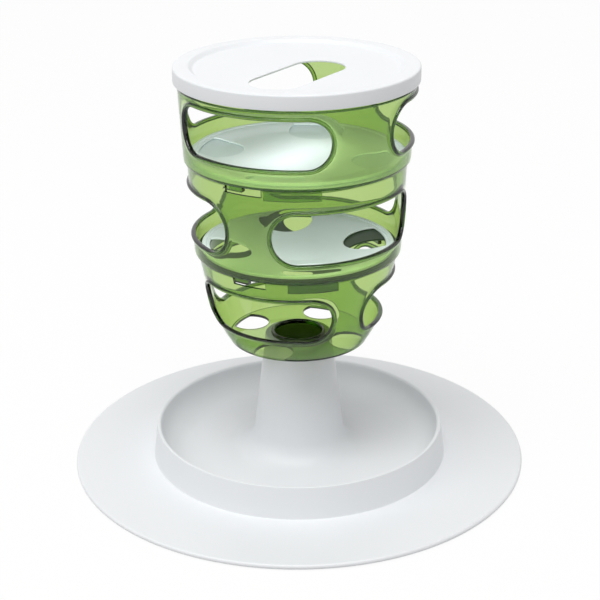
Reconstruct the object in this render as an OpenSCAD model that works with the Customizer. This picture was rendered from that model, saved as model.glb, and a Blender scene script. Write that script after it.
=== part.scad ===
// Cat food tree: a wide white tray with a dish and a hollow column, three see-through
// green stages stacked on the column, a shutter disc in each upper stage, and a slotted lid.
// Millimetres. Z is the axis of the tree, -Y is its front and Z = 0 is the floor under its feet.

/* [Tray] */
// Diameter over the brim
tray_d = 360; // [320:1:400]
// Height of the rounded edge of the brim
brim_edge_h = 4; // [3:0.1:5]
// Height of the brim where it meets the dish, above the underside of its edge
brim_h = 5; // [4:0.1:8]
// Skin thickness of the tray and its column
tray_wall = 2.6; // [2:0.1:3.2]
// Inner diameter of the dish at its rim
dish_d = 222; // [200:1:250]
// Height of the dish rim above the underside of the brim's edge
dish_h = 28.2; // [20:0.1:40]
// Thickness of the dish wall at its rim
dish_rim_w = 3; // [2.4:0.1:4.5]
// How far the outer face of the dish wall leans out on its way down to the brim
dish_lean_out = 4; // [2:0.1:8]
// How far the inner face of the dish wall leans in on its way down to the floor
dish_lean_in = 1.5; // [0.5:0.1:4]
// Height of the dish floor above the underside of the brim's edge
dish_floor_h = 6; // [5:0.1:9]
// Fillet between the dish floor and its wall
dish_fillet = 5; // [2:0.1:8]
// Fillet between the brim and the outer face of the dish wall
brim_fillet = 2; // [1:0.1:4]

/* [Column] */
// Height of the column's top above the floor under the tree
column_h = 104.6; // [85:0.1:130]
// Diameter of the column at its top
column_top_d = 52.2; // [50:0.1:58]
// Diameter of the column's straight flank, carried down to the dish floor
column_foot_d = 75.9; // [66:0.1:90]
// Fillet where the column runs out into the dish floor
column_fillet = 10; // [5:0.5:18]
// Bore of the socket in the column's top
socket_d = 42; // [38:0.1:44]
// Depth of the socket
socket_depth = 15; // [14:0.5:24]

/* [Feet] */
// Diameter of one rubber foot
foot_d = 16; // [10:0.5:20]
// Diameter of the circle that the feet stand on
foot_ring_d = 316; // [284:1:320]
// How far a foot stands below the brim's edge
foot_proud = 0.8; // [0.4:0.1:2]
// How deep a foot sits in its seat
foot_seat = 1.2; // [0.6:0.1:1.5]
// Width of the raised ring round a foot's seat
seat_rim_w = 1.6; // [1:0.1:3]
// Gap round a foot in its seat
foot_clear = 0.2; // [0.1:0.05:0.5]

/* [Stage shells] */
// Wall thickness of the stages
wall = 2.2; // [1.6:0.1:2.8]
// How far a stage's foot stands out past the rim under it
stage_overhang = 2.6; // [2:0.1:4]
// Rounding of a stage's foot
foot_round = 2.4; // [1:0.1:3]
// Rounding of a stage's rim
rim_round = 0.6; // [0.3:0.1:0.8]
// Width of the raised lip round a window
lip_w = 3; // [1.6:0.1:5]
// How far the lip stands proud of the wall
lip_proud = 1.3; // [0.6:0.1:3]
// Width of the ledge that carries a floor plate
ledge_w = 8; // [6:0.5:18]
// Thickness of the ledge
ledge_t = 1.8; // [1.2:0.1:3]

/* [Bottom stage] */
// Height from its underside to its rim
bottom_h = 72.4; // [68:0.1:90]
// Diameter of its floor
bottom_floor_d = 109.2; // [104:0.1:118]
// Height of its bowl-shaped foot
bowl_h = 17; // [12:0.1:17.5]
// Diameter at the top of the bowl
bowl_d = 131; // [124:0.1:138]
// Diameter of its rim
bottom_rim_d = 153.6; // [148:0.1:160]
// Depth of the closed well that plugs into the column
well_depth = 13; // [8:0.5:14]
// Gap between the well and the column's socket
socket_clear = 0.4; // [0.3:0.05:0.6]
// Radius of the rounded collar round the well
collar_r = 1.6; // [1:0.1:2]
// Height of the window openings above the stage's underside
bottom_window_low = 21.4; // [21:0.1:26]
// Height of the window openings
bottom_window_h = 34; // [20:0.1:36]
// Angle that one window opening covers
bottom_window_arc = 97.5; // [70:0.5:104]
// Turn of the first window's middle from the front
bottom_window_turn = -27.5; // [-60:0.5:60]
// Width of a petal hole in the floor
bottom_petal_d = 29; // [20:0.5:30]
// Distance from the axis to a petal's inner end
bottom_petal_in = 28; // [27.5:0.1:32]
// Floor left between a petal's outer arc and the floor's edge
bottom_petal_edge = 3.4; // [2.5:0.1:8]
// Turn of the first petal from the front
bottom_petal_turn = 64; // [0:1:90]

/* [Middle stage] */
// Height from its underside to its rim
middle_h = 73; // [70:0.1:90]
// Diameter of its rim
middle_rim_d = 166; // [160:0.1:172]
// Height of the window openings above the stage's underside
middle_window_low = 16; // [13:0.1:20]
// Height of the window openings
middle_window_h = 38.5; // [24:0.1:40]
// Angle that one window opening covers
middle_window_arc = 93.5; // [70:0.5:102]
// Turn of the first window's middle from the front
middle_window_turn = 33.2; // [-60:0.1:60]
// Turn of its floor plate's first petal from the front
middle_plate_turn = 80; // [0:1:90]
// Turn of its shutter disc past its floor plate
middle_disc_turn = 20; // [-45:1:45]
// How far the dished middle of its floor lies below the floor's edge
middle_dish_h = 6.5; // [1:0.1:7]
// Diameter of the level middle of its floor
middle_dish_d = 52; // [40:1:100]

/* [Top stage] */
// Height from its underside to its rim
top_h = 68.8; // [66:0.1:90]
// Diameter of its rim
top_rim_d = 178.4; // [172:0.1:186]
// Height of the window openings above the stage's underside
top_window_low = 16.5; // [13:0.1:20]
// Height of the window openings
top_window_h = 35.5; // [24:0.1:37]
// Angle that one window opening covers
top_window_arc = 85; // [60:0.5:100]
// Turn of the first window's middle from the front
top_window_turn = -26.2; // [-60:0.1:60]
// Turn of its floor plate's first petal from the front
top_plate_turn = 31; // [0:1:90]
// Turn of its shutter disc past its floor plate
top_disc_turn = -45; // [-45:1:45]
// How far the dished middle of its floor lies below the floor's edge
top_dish_h = 3; // [1:0.1:3.2]
// Diameter of the level middle of its floor
top_dish_d = 126; // [40:1:130]

/* [Stage joints] */
// How far the hanging tabs of a stage reach into the rim under it
tab_h = 8.6; // [4:0.1:10]
// Thickness of a hanging tab
tab_t = 3; // [1.5:0.1:4]
// Angle that one tab covers
tab_arc = 30; // [15:1:40]
// Gap between the tabs and the rim that they drop into
tab_clear = 0.4; // [0.3:0.05:1]
// Turn of the middle stage's first tab from the front
middle_tab_turn = 9; // [-10:0.5:40]
// Turn of the top stage's first tab from the front
top_tab_turn = -2.5; // [-10:0.5:40]
// Angle of a rim notch
notch_arc = 20.5; // [10:0.5:24]
// Depth of a rim notch
notch_h = 6; // [4:0.1:7]
// Turn of the first rim notch from the front
notch_turn = -28.5; // [-60:0.1:0]
// Angle of the key that drops into a notch
key_arc = 9; // [3:0.5:9.5]
// Depth of the key
key_h = 3.8; // [2:0.1:4.5]
// Turn of the key from the middle of its notch
key_turn = -4.5; // [-5:0.5:5]
// Gap between a key and the faces of the rim
key_clear = 0.3; // [0.2:0.05:0.5]
// How far a key reaches in past the wall
key_deep = 2.5; // [0:0.1:4]

/* [Floor plates and shutter discs] */
// Thickness of a floor plate
plate_t = 1.4; // [1:0.1:2.5]
// Gap between a floor plate and the stage's wall
plate_clear = 0.5; // [0.3:0.1:1.2]
// Thickness of a shutter disc
disc_t = 1.6; // [1.2:0.1:2.5]
// Gap between a shutter disc and the stage's wall
disc_clear = 3.5; // [2:0.1:6]
// Width of the raised rim of a disc
disc_rim_w = 3; // [2:0.1:5]
// How far that rim stands up
disc_rim_h = 0.8; // [0.4:0.1:2]
// Width of a petal hole
petal_d = 43; // [30:0.5:44]
// Disc left between a petal's outer arc and the disc's edge
petal_edge = 6; // [5:0.5:10]
// How far a petal's middle lies inside its outer arc
petal_inset = 10; // [6:0.5:14]
// Radius of the pivot pin under a disc
pivot_r = 5; // [3:0.1:7]
// Gap round the pivot pin
pivot_clear = 0.1; // [0.05:0.01:0.15]
// Length of the pivot boss under a plate
boss_h = 1.9; // [1.5:0.1:4]
// Wall of the pivot boss
boss_wall = 2.4; // [1.5:0.1:4]
// Gap between the sloping faces of a plate and its disc
dish_clear = 0.3; // [0.2:0.05:0.6]

/* [Lid] */
// Height of the lid
lid_h = 11.1; // [8:0.1:16]
// Thickness of the lid's raised rim
lid_t = 2.9; // [2.4:0.1:4]
// Thickness of its skirt
lid_wall = 1.8; // [1.4:0.1:2.6]
// Gap between the skirt and the top stage's rim
lid_clear = 0.6; // [0.4:0.1:1]
// Width of the raised rim round the lid's top
lid_rim_w = 11.6; // [6:0.1:14]
// Width of the slope inside the raised rim
lid_slope_w = 3.2; // [1:0.1:6]
// How far the lid's middle lies below its rim
lid_recess = 2.8; // [1.5:0.1:4]
// Thickness of the lid's middle
lid_plate_t = 1.5; // [1.2:0.1:2.4]
// Rounding of the lid's edges
lid_round = 1.4; // [0.5:0.1:1.6]
// Length of the slot
slot_l = 93.5; // [60:0.5:100]
// Width of the slot
slot_w = 40; // [25:1:44]
// Turn of the slot from the X axis
slot_turn = 56; // [0:0.1:90]
// Sideways place of the slot's middle
slot_x = 1; // [-10:0.5:10]
// Place of the slot's middle towards the front
slot_y = -22; // [-30:0.1:0]

/* [Hidden] */

$fn = 96;
white = [0.93, 0.94, 0.94];
green = [0.55, 0.75, 0.25, 0.6];
rubber_grey = [0.45, 0.46, 0.47];
dark = [0.32, 0.4, 0.3];
round_steps = 6;
fold_count = 3;
petal_count = 4;
foot_count = 4;
cut_over = 3;

// Heights of the stacked pieces
bottom_z = column_h;
middle_z = bottom_z + bottom_h;
top_z = middle_z + middle_h;
lid_z = top_z + top_h;

// Radii and heights of the tray
tray_r = tray_d / 2;
dish_r = dish_d / 2;
edge_r = brim_edge_h / 2;
brim_z = foot_proud + brim_h;
dish_rim_z = foot_proud + dish_h;
dish_floor_z = foot_proud + dish_floor_h;
dish_foot_r = dish_r + dish_rim_w + dish_lean_out;
dish_inner_foot_r = dish_r - dish_lean_in;
lean_out = atan(dish_lean_out / (dish_rim_z - brim_z));
lean_in = atan(dish_lean_in / (dish_rim_z - dish_floor_z));
column_foot_r = column_foot_d / 2;
column_top_r = column_top_d / 2;
column_lean = atan((column_foot_r - column_top_r) / (column_h - dish_floor_z));
column_edge_r = 1.2;
socket_r = socket_d / 2;
socket_chamfer = 1;
socket_floor_z = column_h - socket_depth;

// Radii of the stages
well_r = socket_r - socket_clear;
well_chamfer = 1.5;
bottom_floor_r = bottom_floor_d / 2;
bottom_rim_r = bottom_rim_d / 2;
bowl_r = bowl_d / 2;
floor_edge_h = 1.6;
middle_foot_r = bottom_rim_r + stage_overhang;
middle_rim_r = middle_rim_d / 2;
top_foot_r = middle_rim_r + stage_overhang;
top_rim_r = top_rim_d / 2;
lid_r = top_rim_r + lid_clear + lid_wall;

// Points along a circular arc
function arc(c, r, a0, a1) =
  [for (i = [0:round_steps]) let (a = a0 + (a1 - a0) * i / round_steps) c + r * [cos(a), sin(a)]];

// Points along a curve that leaves p0 and reaches p1 with both tangents through c
function curve(p0, c, p1) =
  [for (i = [0:round_steps]) let (t = i / round_steps)
    (1 - t) * (1 - t) * p0 + 2 * t * (1 - t) * c + t * t * p1];

// Distance from a corner to a fillet's centre along the level face
function fillet_run(r, lean) = r * (1 - sin(lean)) / cos(lean);

// Outer radius of a conical stage wall at height z
function cone_r(z0, r0, z1, r1, z) = r0 + (r1 - r0) * (z - z0) / (z1 - z0);

// Inner radius of a conical stage at the height of its ledge
function ledge_wall_r(foot_r, rim_r, h) = cone_r(0, foot_r, h, rim_r, ledge_t) - wall;

// Outer radius of the column's flank at height z
function column_r(z) = cone_r(dish_floor_z, column_foot_r, column_h, column_top_r, z);

// Half the width of the hollow inside the foot of the dish wall
function dish_hollow_w() = max(0.05, (dish_foot_r - dish_inner_foot_r) / 2 - tray_wall);

// Height of the hollow inside the dish wall
function dish_hollow_h() =
  (dish_rim_z - dish_floor_z) * dish_hollow_w() / (dish_hollow_w() + tray_wall);

// Tray, dish and column as one outline, from the edge of the brim over the top and back below
function tray_outline() = let (
  brim_run = fillet_run(brim_fillet, lean_out),
  dish_run = fillet_run(dish_fillet, lean_in),
  column_run = fillet_run(column_fillet, column_lean),
  column_c = [column_foot_r + column_run, dish_floor_z + column_fillet],
  hollow_r = (dish_foot_r + dish_inner_foot_r) / 2,
  under_z = dish_floor_z - tray_wall)
  concat(
    arc([tray_r - edge_r, foot_proud + edge_r], edge_r, -90, 90),
    arc([dish_foot_r + brim_run, brim_z + brim_fillet], brim_fillet, 270, 180 + lean_out),
    arc([dish_r + dish_rim_w / 2, dish_rim_z - dish_rim_w / 2], dish_rim_w / 2, lean_out, 180 - lean_in),
    arc([dish_inner_foot_r - dish_run, dish_floor_z + dish_fillet], dish_fillet, -lean_in, -90),
    arc(column_c, column_fillet, 270, 180 + column_lean),
    arc([column_top_r - column_edge_r, column_h - column_edge_r], column_edge_r, column_lean, 90),
    [[socket_r + socket_chamfer, column_h],
     [socket_r, column_h - socket_chamfer],
     [socket_r, socket_floor_z],
     [0, socket_floor_z],
     [0, socket_floor_z - tray_wall],
     [column_r(socket_floor_z - tray_wall) - tray_wall / cos(column_lean), socket_floor_z - tray_wall]],
    arc(column_c, column_fillet + tray_wall, 180 + column_lean, 270),
    [[hollow_r - dish_hollow_w(), under_z],
     [hollow_r - dish_lean_out / 4, dish_floor_z + dish_hollow_h()],
     [hollow_r + dish_hollow_w(), brim_z - tray_wall],
     [tray_r - brim_edge_h, foot_proud + brim_edge_h - tray_wall]]);

module base_tray() {
  color(white) difference() {
    union() {
      rotate_extrude() polygon(tray_outline());
      for (i = [1:foot_count]) foot_place(i) translate([0, 0, foot_proud])
        cylinder(d = foot_d + 2 * (foot_clear + seat_rim_w), h = brim_edge_h - tray_wall / 2);
    }
    for (i = [1:foot_count]) foot_place(i) translate([0, 0, foot_proud - cut_over])
      cylinder(d = foot_d + 2 * foot_clear, h = foot_seat + cut_over);
  }
}

// Puts a child at the place of foot number i
module foot_place(i) {
  rotate([0, 0, (i - 0.5) * 360 / foot_count]) translate([foot_ring_d / 2, 0, 0]) children();
}

module foot_pad(i) {
  pad_h = foot_proud + foot_seat;
  pad_round = foot_proud / 2;
  color(rubber_grey) foot_place(i) rotate_extrude()
    polygon(concat([[0, 0]], arc([foot_d / 2 - pad_round, pad_round], pad_round, -90, 0),
      [[foot_d / 2, pad_h], [0, pad_h]]));
}

// Flat rim of a stage with rounded corners, from its outer face to its inner face
function rim_points(rim_r, rim_z) = concat(
  arc([rim_r - rim_round, rim_z - rim_round], rim_round, 0, 90),
  arc([rim_r - wall + rim_round, rim_z - rim_round], rim_round, 90, 180));

// Bowl-footed shell of the bottom stage, from the well's underside round to its inside
function bottom_outline() = let (
  rim_z = bottom_z + bottom_h,
  bowl_z = bottom_z + bowl_h,
  slope = (bottom_rim_r - bowl_r) / (bottom_h - bowl_h),
  bend_z = bottom_z + floor_edge_h + bowl_h / 5,
  bend_r = bowl_r - slope * (bowl_z - bend_z),
  floor_z = bottom_z + wall,
  well_z = bottom_z - well_depth)
  concat(
    [[0, well_z], [well_r - well_chamfer, well_z], [well_r, well_z + well_chamfer], [well_r, bottom_z],
     [bottom_floor_r - floor_edge_h, bottom_z]],
    curve([bottom_floor_r, bottom_z + floor_edge_h], [bend_r, bend_z], [bowl_r, bowl_z]),
    rim_points(bottom_rim_r, rim_z),
    curve([bowl_r - wall, bowl_z], [bend_r - wall, bend_z + wall], [bottom_floor_r - wall, floor_z]),
    arc([well_r - wall + collar_r, floor_z], collar_r, 0, 180),
    [[well_r - wall, well_z + wall], [0, well_z + wall]]);

// Shell of an upper stage, from its ledge's underside round to its inside
function stage_outline(z0, h, foot_r, rim_r) = let (
  wall_r = ledge_wall_r(foot_r, rim_r, h),
  ledge_r = wall_r - ledge_w)
  concat(
    [[ledge_r, z0]],
    arc([foot_r - foot_round, z0 + foot_round], foot_round, -90, 0),
    rim_points(rim_r, z0 + h),
    [[wall_r, z0 + ledge_t], [ledge_r, z0 + ledge_t]]);

// Round-ended slot wrapped on a circle of radius r, facing +X, with its middle at z = 0
module window_prism(r, h, window_arc, grow, r_in, r_out) {
  end_turn = window_arc / 2 - atan(h / 2 / r);
  for (side = [-1, 1]) rotate([0, 0, side * end_turn]) rotate([0, 90, 0]) rotate([0, 0, -90 * side])
    translate([0, 0, r_in]) cylinder(r = h / 2 + grow, h = r_out - r_in);
  rotate([0, 0, -end_turn]) rotate_extrude(angle = 2 * end_turn)
    translate([r_in, -h / 2 - grow]) square([r_out - r_in, h + 2 * grow]);
}

// Cuts the windows into a conical stage wall and gives each a raised lip
module windowed(z0, r0, z1, r1, low_z, h, window_arc, turn) {
  mid_z = low_z + h / 2;
  mid_r = cone_r(z0, r0, z1, r1, mid_z);
  r_in = mid_r - ledge_w;
  r_out = mid_r + ledge_w;
  lip_low = low_z - 2 * lip_w;
  lip_high = low_z + h + 2 * lip_w;
  lip_low_r = cone_r(z0, r0, z1, r1, lip_low);
  lip_high_r = cone_r(z0, r0, z1, r1, lip_high);
  difference() {
    union() {
      children();
      intersection() {
        rotate_extrude() polygon([[lip_low_r - wall / 2, lip_low], [lip_low_r + lip_proud, lip_low],
          [lip_high_r + lip_proud, lip_high], [lip_high_r - wall / 2, lip_high]]);
        for (i = [0:fold_count - 1]) rotate([0, 0, turn - 90 + i * 360 / fold_count])
          translate([0, 0, mid_z]) window_prism(mid_r, h, window_arc, lip_w, r_in, r_out);
      }
    }
    for (i = [0:fold_count - 1]) rotate([0, 0, turn - 90 + i * 360 / fold_count])
      translate([0, 0, mid_z]) window_prism(mid_r, h, window_arc, 0, r_in, r_out);
  }
}

// Blocks bent round the axis, one in each third of the circle
module bent_blocks(turn, block_arc, r_in, r_out, z0, z1) {
  for (i = [0:fold_count - 1]) rotate([0, 0, turn - 90 - block_arc / 2 + i * 360 / fold_count])
    rotate_extrude(angle = block_arc) translate([r_in, z0]) square([r_out - r_in, z1 - z0]);
}

// Notches in a rim for the keys of the stage above
module rim_notches(rim_r, rim_z) {
  bent_blocks(notch_turn, notch_arc, rim_r - wall - cut_over, rim_r + cut_over,
    rim_z - notch_h, rim_z + cut_over);
}

// Tabs that hang inside the rim below, and keys that drop into its notches
module stage_joint(z0, under_in_r, under_rim_r, tab_turn) {
  tab_r = under_in_r - tab_clear;
  bent_blocks(tab_turn, tab_arc, tab_r - tab_t, tab_r, z0 - tab_h, z0 + ledge_t / 2);
  bent_blocks(notch_turn + key_turn, key_arc, under_rim_r - wall - key_deep, under_rim_r - key_clear,
    z0 - key_h, z0 + ledge_t / 2);
}

// Petal holes round the axis: round ends inside, cut off by an arc outside
module petals(petal_w, middle_r, outer_r, turn, z0, z1) {
  intersection() {
    translate([0, 0, z0]) cylinder(r = outer_r, h = z1 - z0);
    for (i = [0:petal_count - 1]) rotate([0, 0, turn - 90 + i * 360 / petal_count])
      translate([middle_r, 0, z0]) cylinder(d = petal_w, h = z1 - z0);
  }
}

module bottom_stage() {
  color(green) difference() {
    windowed(bottom_z + bowl_h, bowl_r, middle_z, bottom_rim_r, bottom_z + bottom_window_low,
      bottom_window_h, bottom_window_arc, bottom_window_turn)
      rotate_extrude() polygon(bottom_outline());
    rim_notches(bottom_rim_r, middle_z);
    petals(bottom_petal_d, bottom_petal_in + bottom_petal_d / 2, bottom_floor_r - bottom_petal_edge,
      bottom_petal_turn, bottom_z - cut_over, bottom_z + wall + cut_over);
  }
}

module middle_stage() {
  under_r = cone_r(bottom_z + bowl_h, bowl_r, middle_z, bottom_rim_r, middle_z - tab_h) - wall;
  color(green) union() {
    difference() {
      windowed(middle_z, middle_foot_r, top_z, middle_rim_r, middle_z + middle_window_low,
        middle_window_h, middle_window_arc, middle_window_turn)
        rotate_extrude() polygon(stage_outline(middle_z, middle_h, middle_foot_r, middle_rim_r));
      rim_notches(middle_rim_r, top_z);
    }
    stage_joint(middle_z, under_r, bottom_rim_r, middle_tab_turn);
  }
}

module top_stage() {
  under_r = cone_r(middle_z, middle_foot_r, top_z, middle_rim_r, top_z - tab_h) - wall;
  color(green) union() {
    windowed(top_z, top_foot_r, lid_z, top_rim_r, top_z + top_window_low,
      top_window_h, top_window_arc, top_window_turn)
      rotate_extrude() polygon(stage_outline(top_z, top_h, top_foot_r, top_rim_r));
    stage_joint(top_z, under_r, middle_rim_r, top_tab_turn);
  }
}

// Radius at which a floor leaves the ledge and begins to slope down
function slope_r(wall_r) = wall_r - ledge_w - plate_clear;

// Fixed floor plate, dished, with petal holes and a pivot boss, on the ledge of a stage
module floor_plate(z0, wall_r, turn, dish_h, dish_r) {
  outer_r = wall_r - disc_clear - petal_edge;
  low_z = z0 + ledge_t;
  high_z = low_z + plate_t;
  difference() {
    union() {
      rotate_extrude() polygon([[0, low_z - dish_h], [dish_r, low_z - dish_h], [slope_r(wall_r), low_z],
        [wall_r - plate_clear, low_z], [wall_r - plate_clear, high_z], [slope_r(wall_r), high_z],
        [dish_r, high_z - dish_h], [0, high_z - dish_h]]);
      translate([0, 0, low_z - dish_h + plate_t / 2 - boss_h])
        cylinder(r = pivot_r + boss_wall, h = boss_h);
    }
    petals(petal_d, outer_r - petal_inset, outer_r, turn, low_z - dish_h - cut_over, high_z + cut_over);
    translate([0, 0, low_z - dish_h - boss_h - cut_over])
      cylinder(r = pivot_r + pivot_clear, h = boss_h + plate_t + 2 * cut_over);
  }
}

// Shutter disc, dished like its plate, with matching petals, a raised rim and a pivot pin
module shutter_disc(z0, wall_r, turn, dish_h, dish_r) {
  disc_r = wall_r - disc_clear;
  outer_r = disc_r - petal_edge;
  low_z = z0 + ledge_t + plate_t;
  high_z = low_z + disc_t;
  shift = dish_clear * (slope_r(wall_r) - dish_r) / dish_h;
  difference() {
    union() {
      rotate_extrude() polygon([[0, low_z - dish_h], [dish_r - shift, low_z - dish_h],
        [slope_r(wall_r) - shift, low_z], [disc_r, low_z], [disc_r, high_z + disc_rim_h / 2],
        [disc_r - disc_rim_h / 2, high_z + disc_rim_h], [disc_r - disc_rim_w, high_z + disc_rim_h],
        [disc_r - disc_rim_w - disc_rim_h, high_z], [slope_r(wall_r) - shift, high_z],
        [dish_r - shift, high_z - dish_h], [0, high_z - dish_h]]);
      translate([0, 0, low_z - dish_h - boss_h]) cylinder(r = pivot_r, h = boss_h + disc_t / 2);
    }
    petals(petal_d, outer_r - petal_inset, outer_r, turn, low_z - dish_h - cut_over, high_z + cut_over);
  }
}

module middle_floor_plate() {
  color(dark) floor_plate(middle_z, ledge_wall_r(middle_foot_r, middle_rim_r, middle_h),
    middle_plate_turn, middle_dish_h, middle_dish_d / 2);
}

module middle_shutter_disc() {
  color(white) shutter_disc(middle_z, ledge_wall_r(middle_foot_r, middle_rim_r, middle_h),
    middle_plate_turn + middle_disc_turn, middle_dish_h, middle_dish_d / 2);
}

module top_floor_plate() {
  color(white) floor_plate(top_z, ledge_wall_r(top_foot_r, top_rim_r, top_h),
    top_plate_turn, top_dish_h, top_dish_d / 2);
}

module top_shutter_disc() {
  color(white) shutter_disc(top_z, ledge_wall_r(top_foot_r, top_rim_r, top_h),
    top_plate_turn + top_disc_turn, top_dish_h, top_dish_d / 2);
}

// Lid from the inside of its skirt over the outside to the middle of its top
function lid_outline() = let (
  skirt_z = lid_z + lid_t - lid_h,
  top_face = lid_z + lid_t,
  plate_z = top_face - lid_recess,
  rim_in_r = lid_r - lid_rim_w,
  plate_r = rim_in_r - lid_slope_w,
  skirt_round = lid_wall / 3)
  concat(
    [[0, plate_z - lid_plate_t], [plate_r, plate_z - lid_plate_t], [rim_in_r, lid_z],
     [lid_r - lid_wall, lid_z], [lid_r - lid_wall, skirt_z]],
    arc([lid_r - skirt_round, skirt_z + skirt_round], skirt_round, -90, 0),
    arc([lid_r - lid_round, top_face - lid_round], lid_round, 0, 90),
    [[rim_in_r, top_face], [plate_r, plate_z], [0, plate_z]]);

module lid() {
  slot_run = slot_l - slot_w;
  plate_low = lid_z + lid_t - lid_recess - lid_plate_t;
  color(white) difference() {
    rotate_extrude() polygon(lid_outline());
    translate([slot_x, slot_y, plate_low - cut_over]) rotate([0, 0, slot_turn])
      linear_extrude(lid_plate_t + 2 * cut_over) union() {
        square([slot_run, slot_w], center = true);
        for (side = [-1, 1]) translate([side * slot_run / 2, 0]) circle(d = slot_w);
      }
  }
}

base_tray();
foot_pad(1);  // foot_pad_1
foot_pad(2);  // foot_pad_2
foot_pad(3);  // foot_pad_3
foot_pad(4);  // foot_pad_4
bottom_stage();
middle_stage();
middle_floor_plate();
middle_shutter_disc();
top_stage();
top_floor_plate();
top_shutter_disc();
lid();
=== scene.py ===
"""Dresses the cat food tree: smooth meshes, finishes, a soft studio and the camera.

Sizes are millimetres in the frame's own axes, with Z up the tree and -Y to its front.
Azimuths are degrees from the front, positive towards +X.
"""
import logging
import math
from dataclasses import dataclass, field
from enum import Enum
from typing import Callable, Sequence

import bmesh
import bpy
from mathutils import Matrix, Vector


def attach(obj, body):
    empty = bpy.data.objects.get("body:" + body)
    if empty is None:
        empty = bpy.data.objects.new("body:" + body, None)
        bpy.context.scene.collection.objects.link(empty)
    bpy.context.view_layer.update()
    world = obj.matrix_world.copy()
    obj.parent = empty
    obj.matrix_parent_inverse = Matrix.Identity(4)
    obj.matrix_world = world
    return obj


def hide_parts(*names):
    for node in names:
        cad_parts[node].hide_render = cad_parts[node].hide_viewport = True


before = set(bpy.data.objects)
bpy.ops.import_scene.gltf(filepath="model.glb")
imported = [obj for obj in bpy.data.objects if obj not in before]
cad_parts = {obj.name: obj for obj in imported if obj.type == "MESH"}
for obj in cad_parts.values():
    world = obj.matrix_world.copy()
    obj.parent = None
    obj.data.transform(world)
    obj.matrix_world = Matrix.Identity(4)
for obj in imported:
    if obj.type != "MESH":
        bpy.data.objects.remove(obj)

LOG = logging.getLogger("food_tree")
MM = 0.001
MERGE_DISTANCE = 1e-5
REST_GAP = 0.05
SMOOTH_ANGLE = math.radians(32)
STEP_LAYER = "loop_step"
# Layer of painted shade: how dark lips, rims, the lid bead and hanging tabs are painted.
EDGE_LAYER = "edge_depth"
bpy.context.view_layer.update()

Flat = tuple[float, float]
Colour = tuple[float, float, float, float]


class Finish(Enum):
    """The finishes of the object, each with the material slot of the record that it belongs to."""

    WHITE = ("satin_white_plastic", "white_plastic")
    # Shutter discs: white plastic, partly its own cool white, partly painted green light from the walls
    # round it.
    FLOOR = ("pale_floor_plastic", "white_plastic")
    # Top floor plate: the disc's white painted darker for the shade under the disc, with painted green
    # light.
    SEAT = ("pale_seat_plastic", "white_plastic")
    GREEN = ("clear_green_plastic", "green_plastic")
    DARK = ("dark_grey_green_plastic", "dark_plastic")
    RUBBER = ("grey_foot_rubber", "foot_rubber")

    @property
    def material(self) -> str:
        """Name of the material."""
        return self.value[0]

    @property
    def slot(self) -> str:
        """Name of the slot in the record."""
        return self.value[1]


class Cut(Enum):
    """The ways in which one solid is combined with another."""

    ADD = "UNION"
    TAKE = "DIFFERENCE"


def polar(radius: float, azimuth: float, height: float) -> Vector:
    """Gives a point of the frame from cylindrical sizes.

    Args:
        radius: Distance from the axis in millimetres.
        azimuth: Degrees from the front, positive towards +X.
        height: Height over the floor in millimetres.

    Returns:
        The point in metres.
    """
    turn = math.radians(azimuth)
    return Vector((radius * math.sin(turn), -radius * math.cos(turn), height)) * MM


def arc(centre: Flat, radius: float, start: float, end: float, steps: int = 8) -> list[Flat]:
    """Gives points along a circular arc, both ends included.

    Args:
        centre: Centre of the arc.
        radius: Radius of the arc.
        start: Angle of the first point in degrees.
        end: Angle of the last point in degrees.
        steps: Number of chords.

    Returns:
        The points in order.
    """
    angles = [math.radians(start + (end - start) * i / steps) for i in range(steps + 1)]
    return [(centre[0] + radius * math.cos(a), centre[1] + radius * math.sin(a)) for a in angles]


def bezier(start: Flat, bend: Flat, end: Flat, steps: int = 12) -> list[Flat]:
    """Gives points along a curve that leaves start and reaches end with tangents through bend.

    Args:
        start: First point.
        bend: Point that both tangents meet in.
        end: Last point.
        steps: Number of chords.

    Returns:
        The points in order.
    """
    shares = [i / steps for i in range(steps + 1)]
    return [tuple((1 - t) ** 2 * a + 2 * t * (1 - t) * b + t * t * c
                  for a, b, c in zip(start, bend, end)) for t in shares]


@dataclass(frozen=True)
class Dish:
    """How a floor slopes down from its edge to its level middle, with soft bends.

    Attributes:
        depth: How far the middle lies below the edge.
        inner: Radius of the level middle.
        outer: Radius at which the slope begins.
        bend: Half width of a bend.
    """

    depth: float = 0.0
    inner: float = 1.0
    outer: float = 2.0
    bend: float = 2.4

    def drop(self, radius: float) -> float:
        """Gives the depth of the floor at a radius.

        Args:
            radius: Distance from the axis.

        Returns:
            The depth below the edge.
        """
        share = (self.outer - radius) / (self.outer - self.inner)
        soft = min(0.5, self.bend / (self.outer - self.inner))
        if share < soft:
            return self.depth * max(0.0, share + soft) ** 2 / (4 * soft)
        if share > 1 - soft:
            return self.depth * (1 - max(0.0, 1 + soft - share) ** 2 / (4 * soft))
        return self.depth * share


def lerp(low: float, high: float, share: float) -> float:
    """Gives the value at a share of the way from low to high."""
    return low + (high - low) * share


def sheet_edge(thickness: float, rounding: float) -> list[Flat]:
    """Gives the section of a rounded sheet edge, from the lower face round to the upper one.

    Args:
        thickness: Thickness of the sheet.
        rounding: Radius at both corners.

    Returns:
        Points of distance from the edge and height over the middle of the sheet.
    """
    half = thickness / 2
    lower = arc((rounding, rounding - half), rounding, 270, 180, 4)
    upper = arc((rounding, half - rounding), rounding, 180, 90, 4)
    return [(2 * rounding, -half), *lower, *upper, (2 * rounding, half)]


def choose(*pieces: bpy.types.Object) -> None:
    """Selects some pieces alone and makes the last one active.

    Args:
        pieces: The pieces to select.
    """
    bpy.ops.object.select_all(action="DESELECT")
    for piece in pieces:
        piece.select_set(True)
    bpy.context.view_layer.objects.active = pieces[-1]


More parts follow.
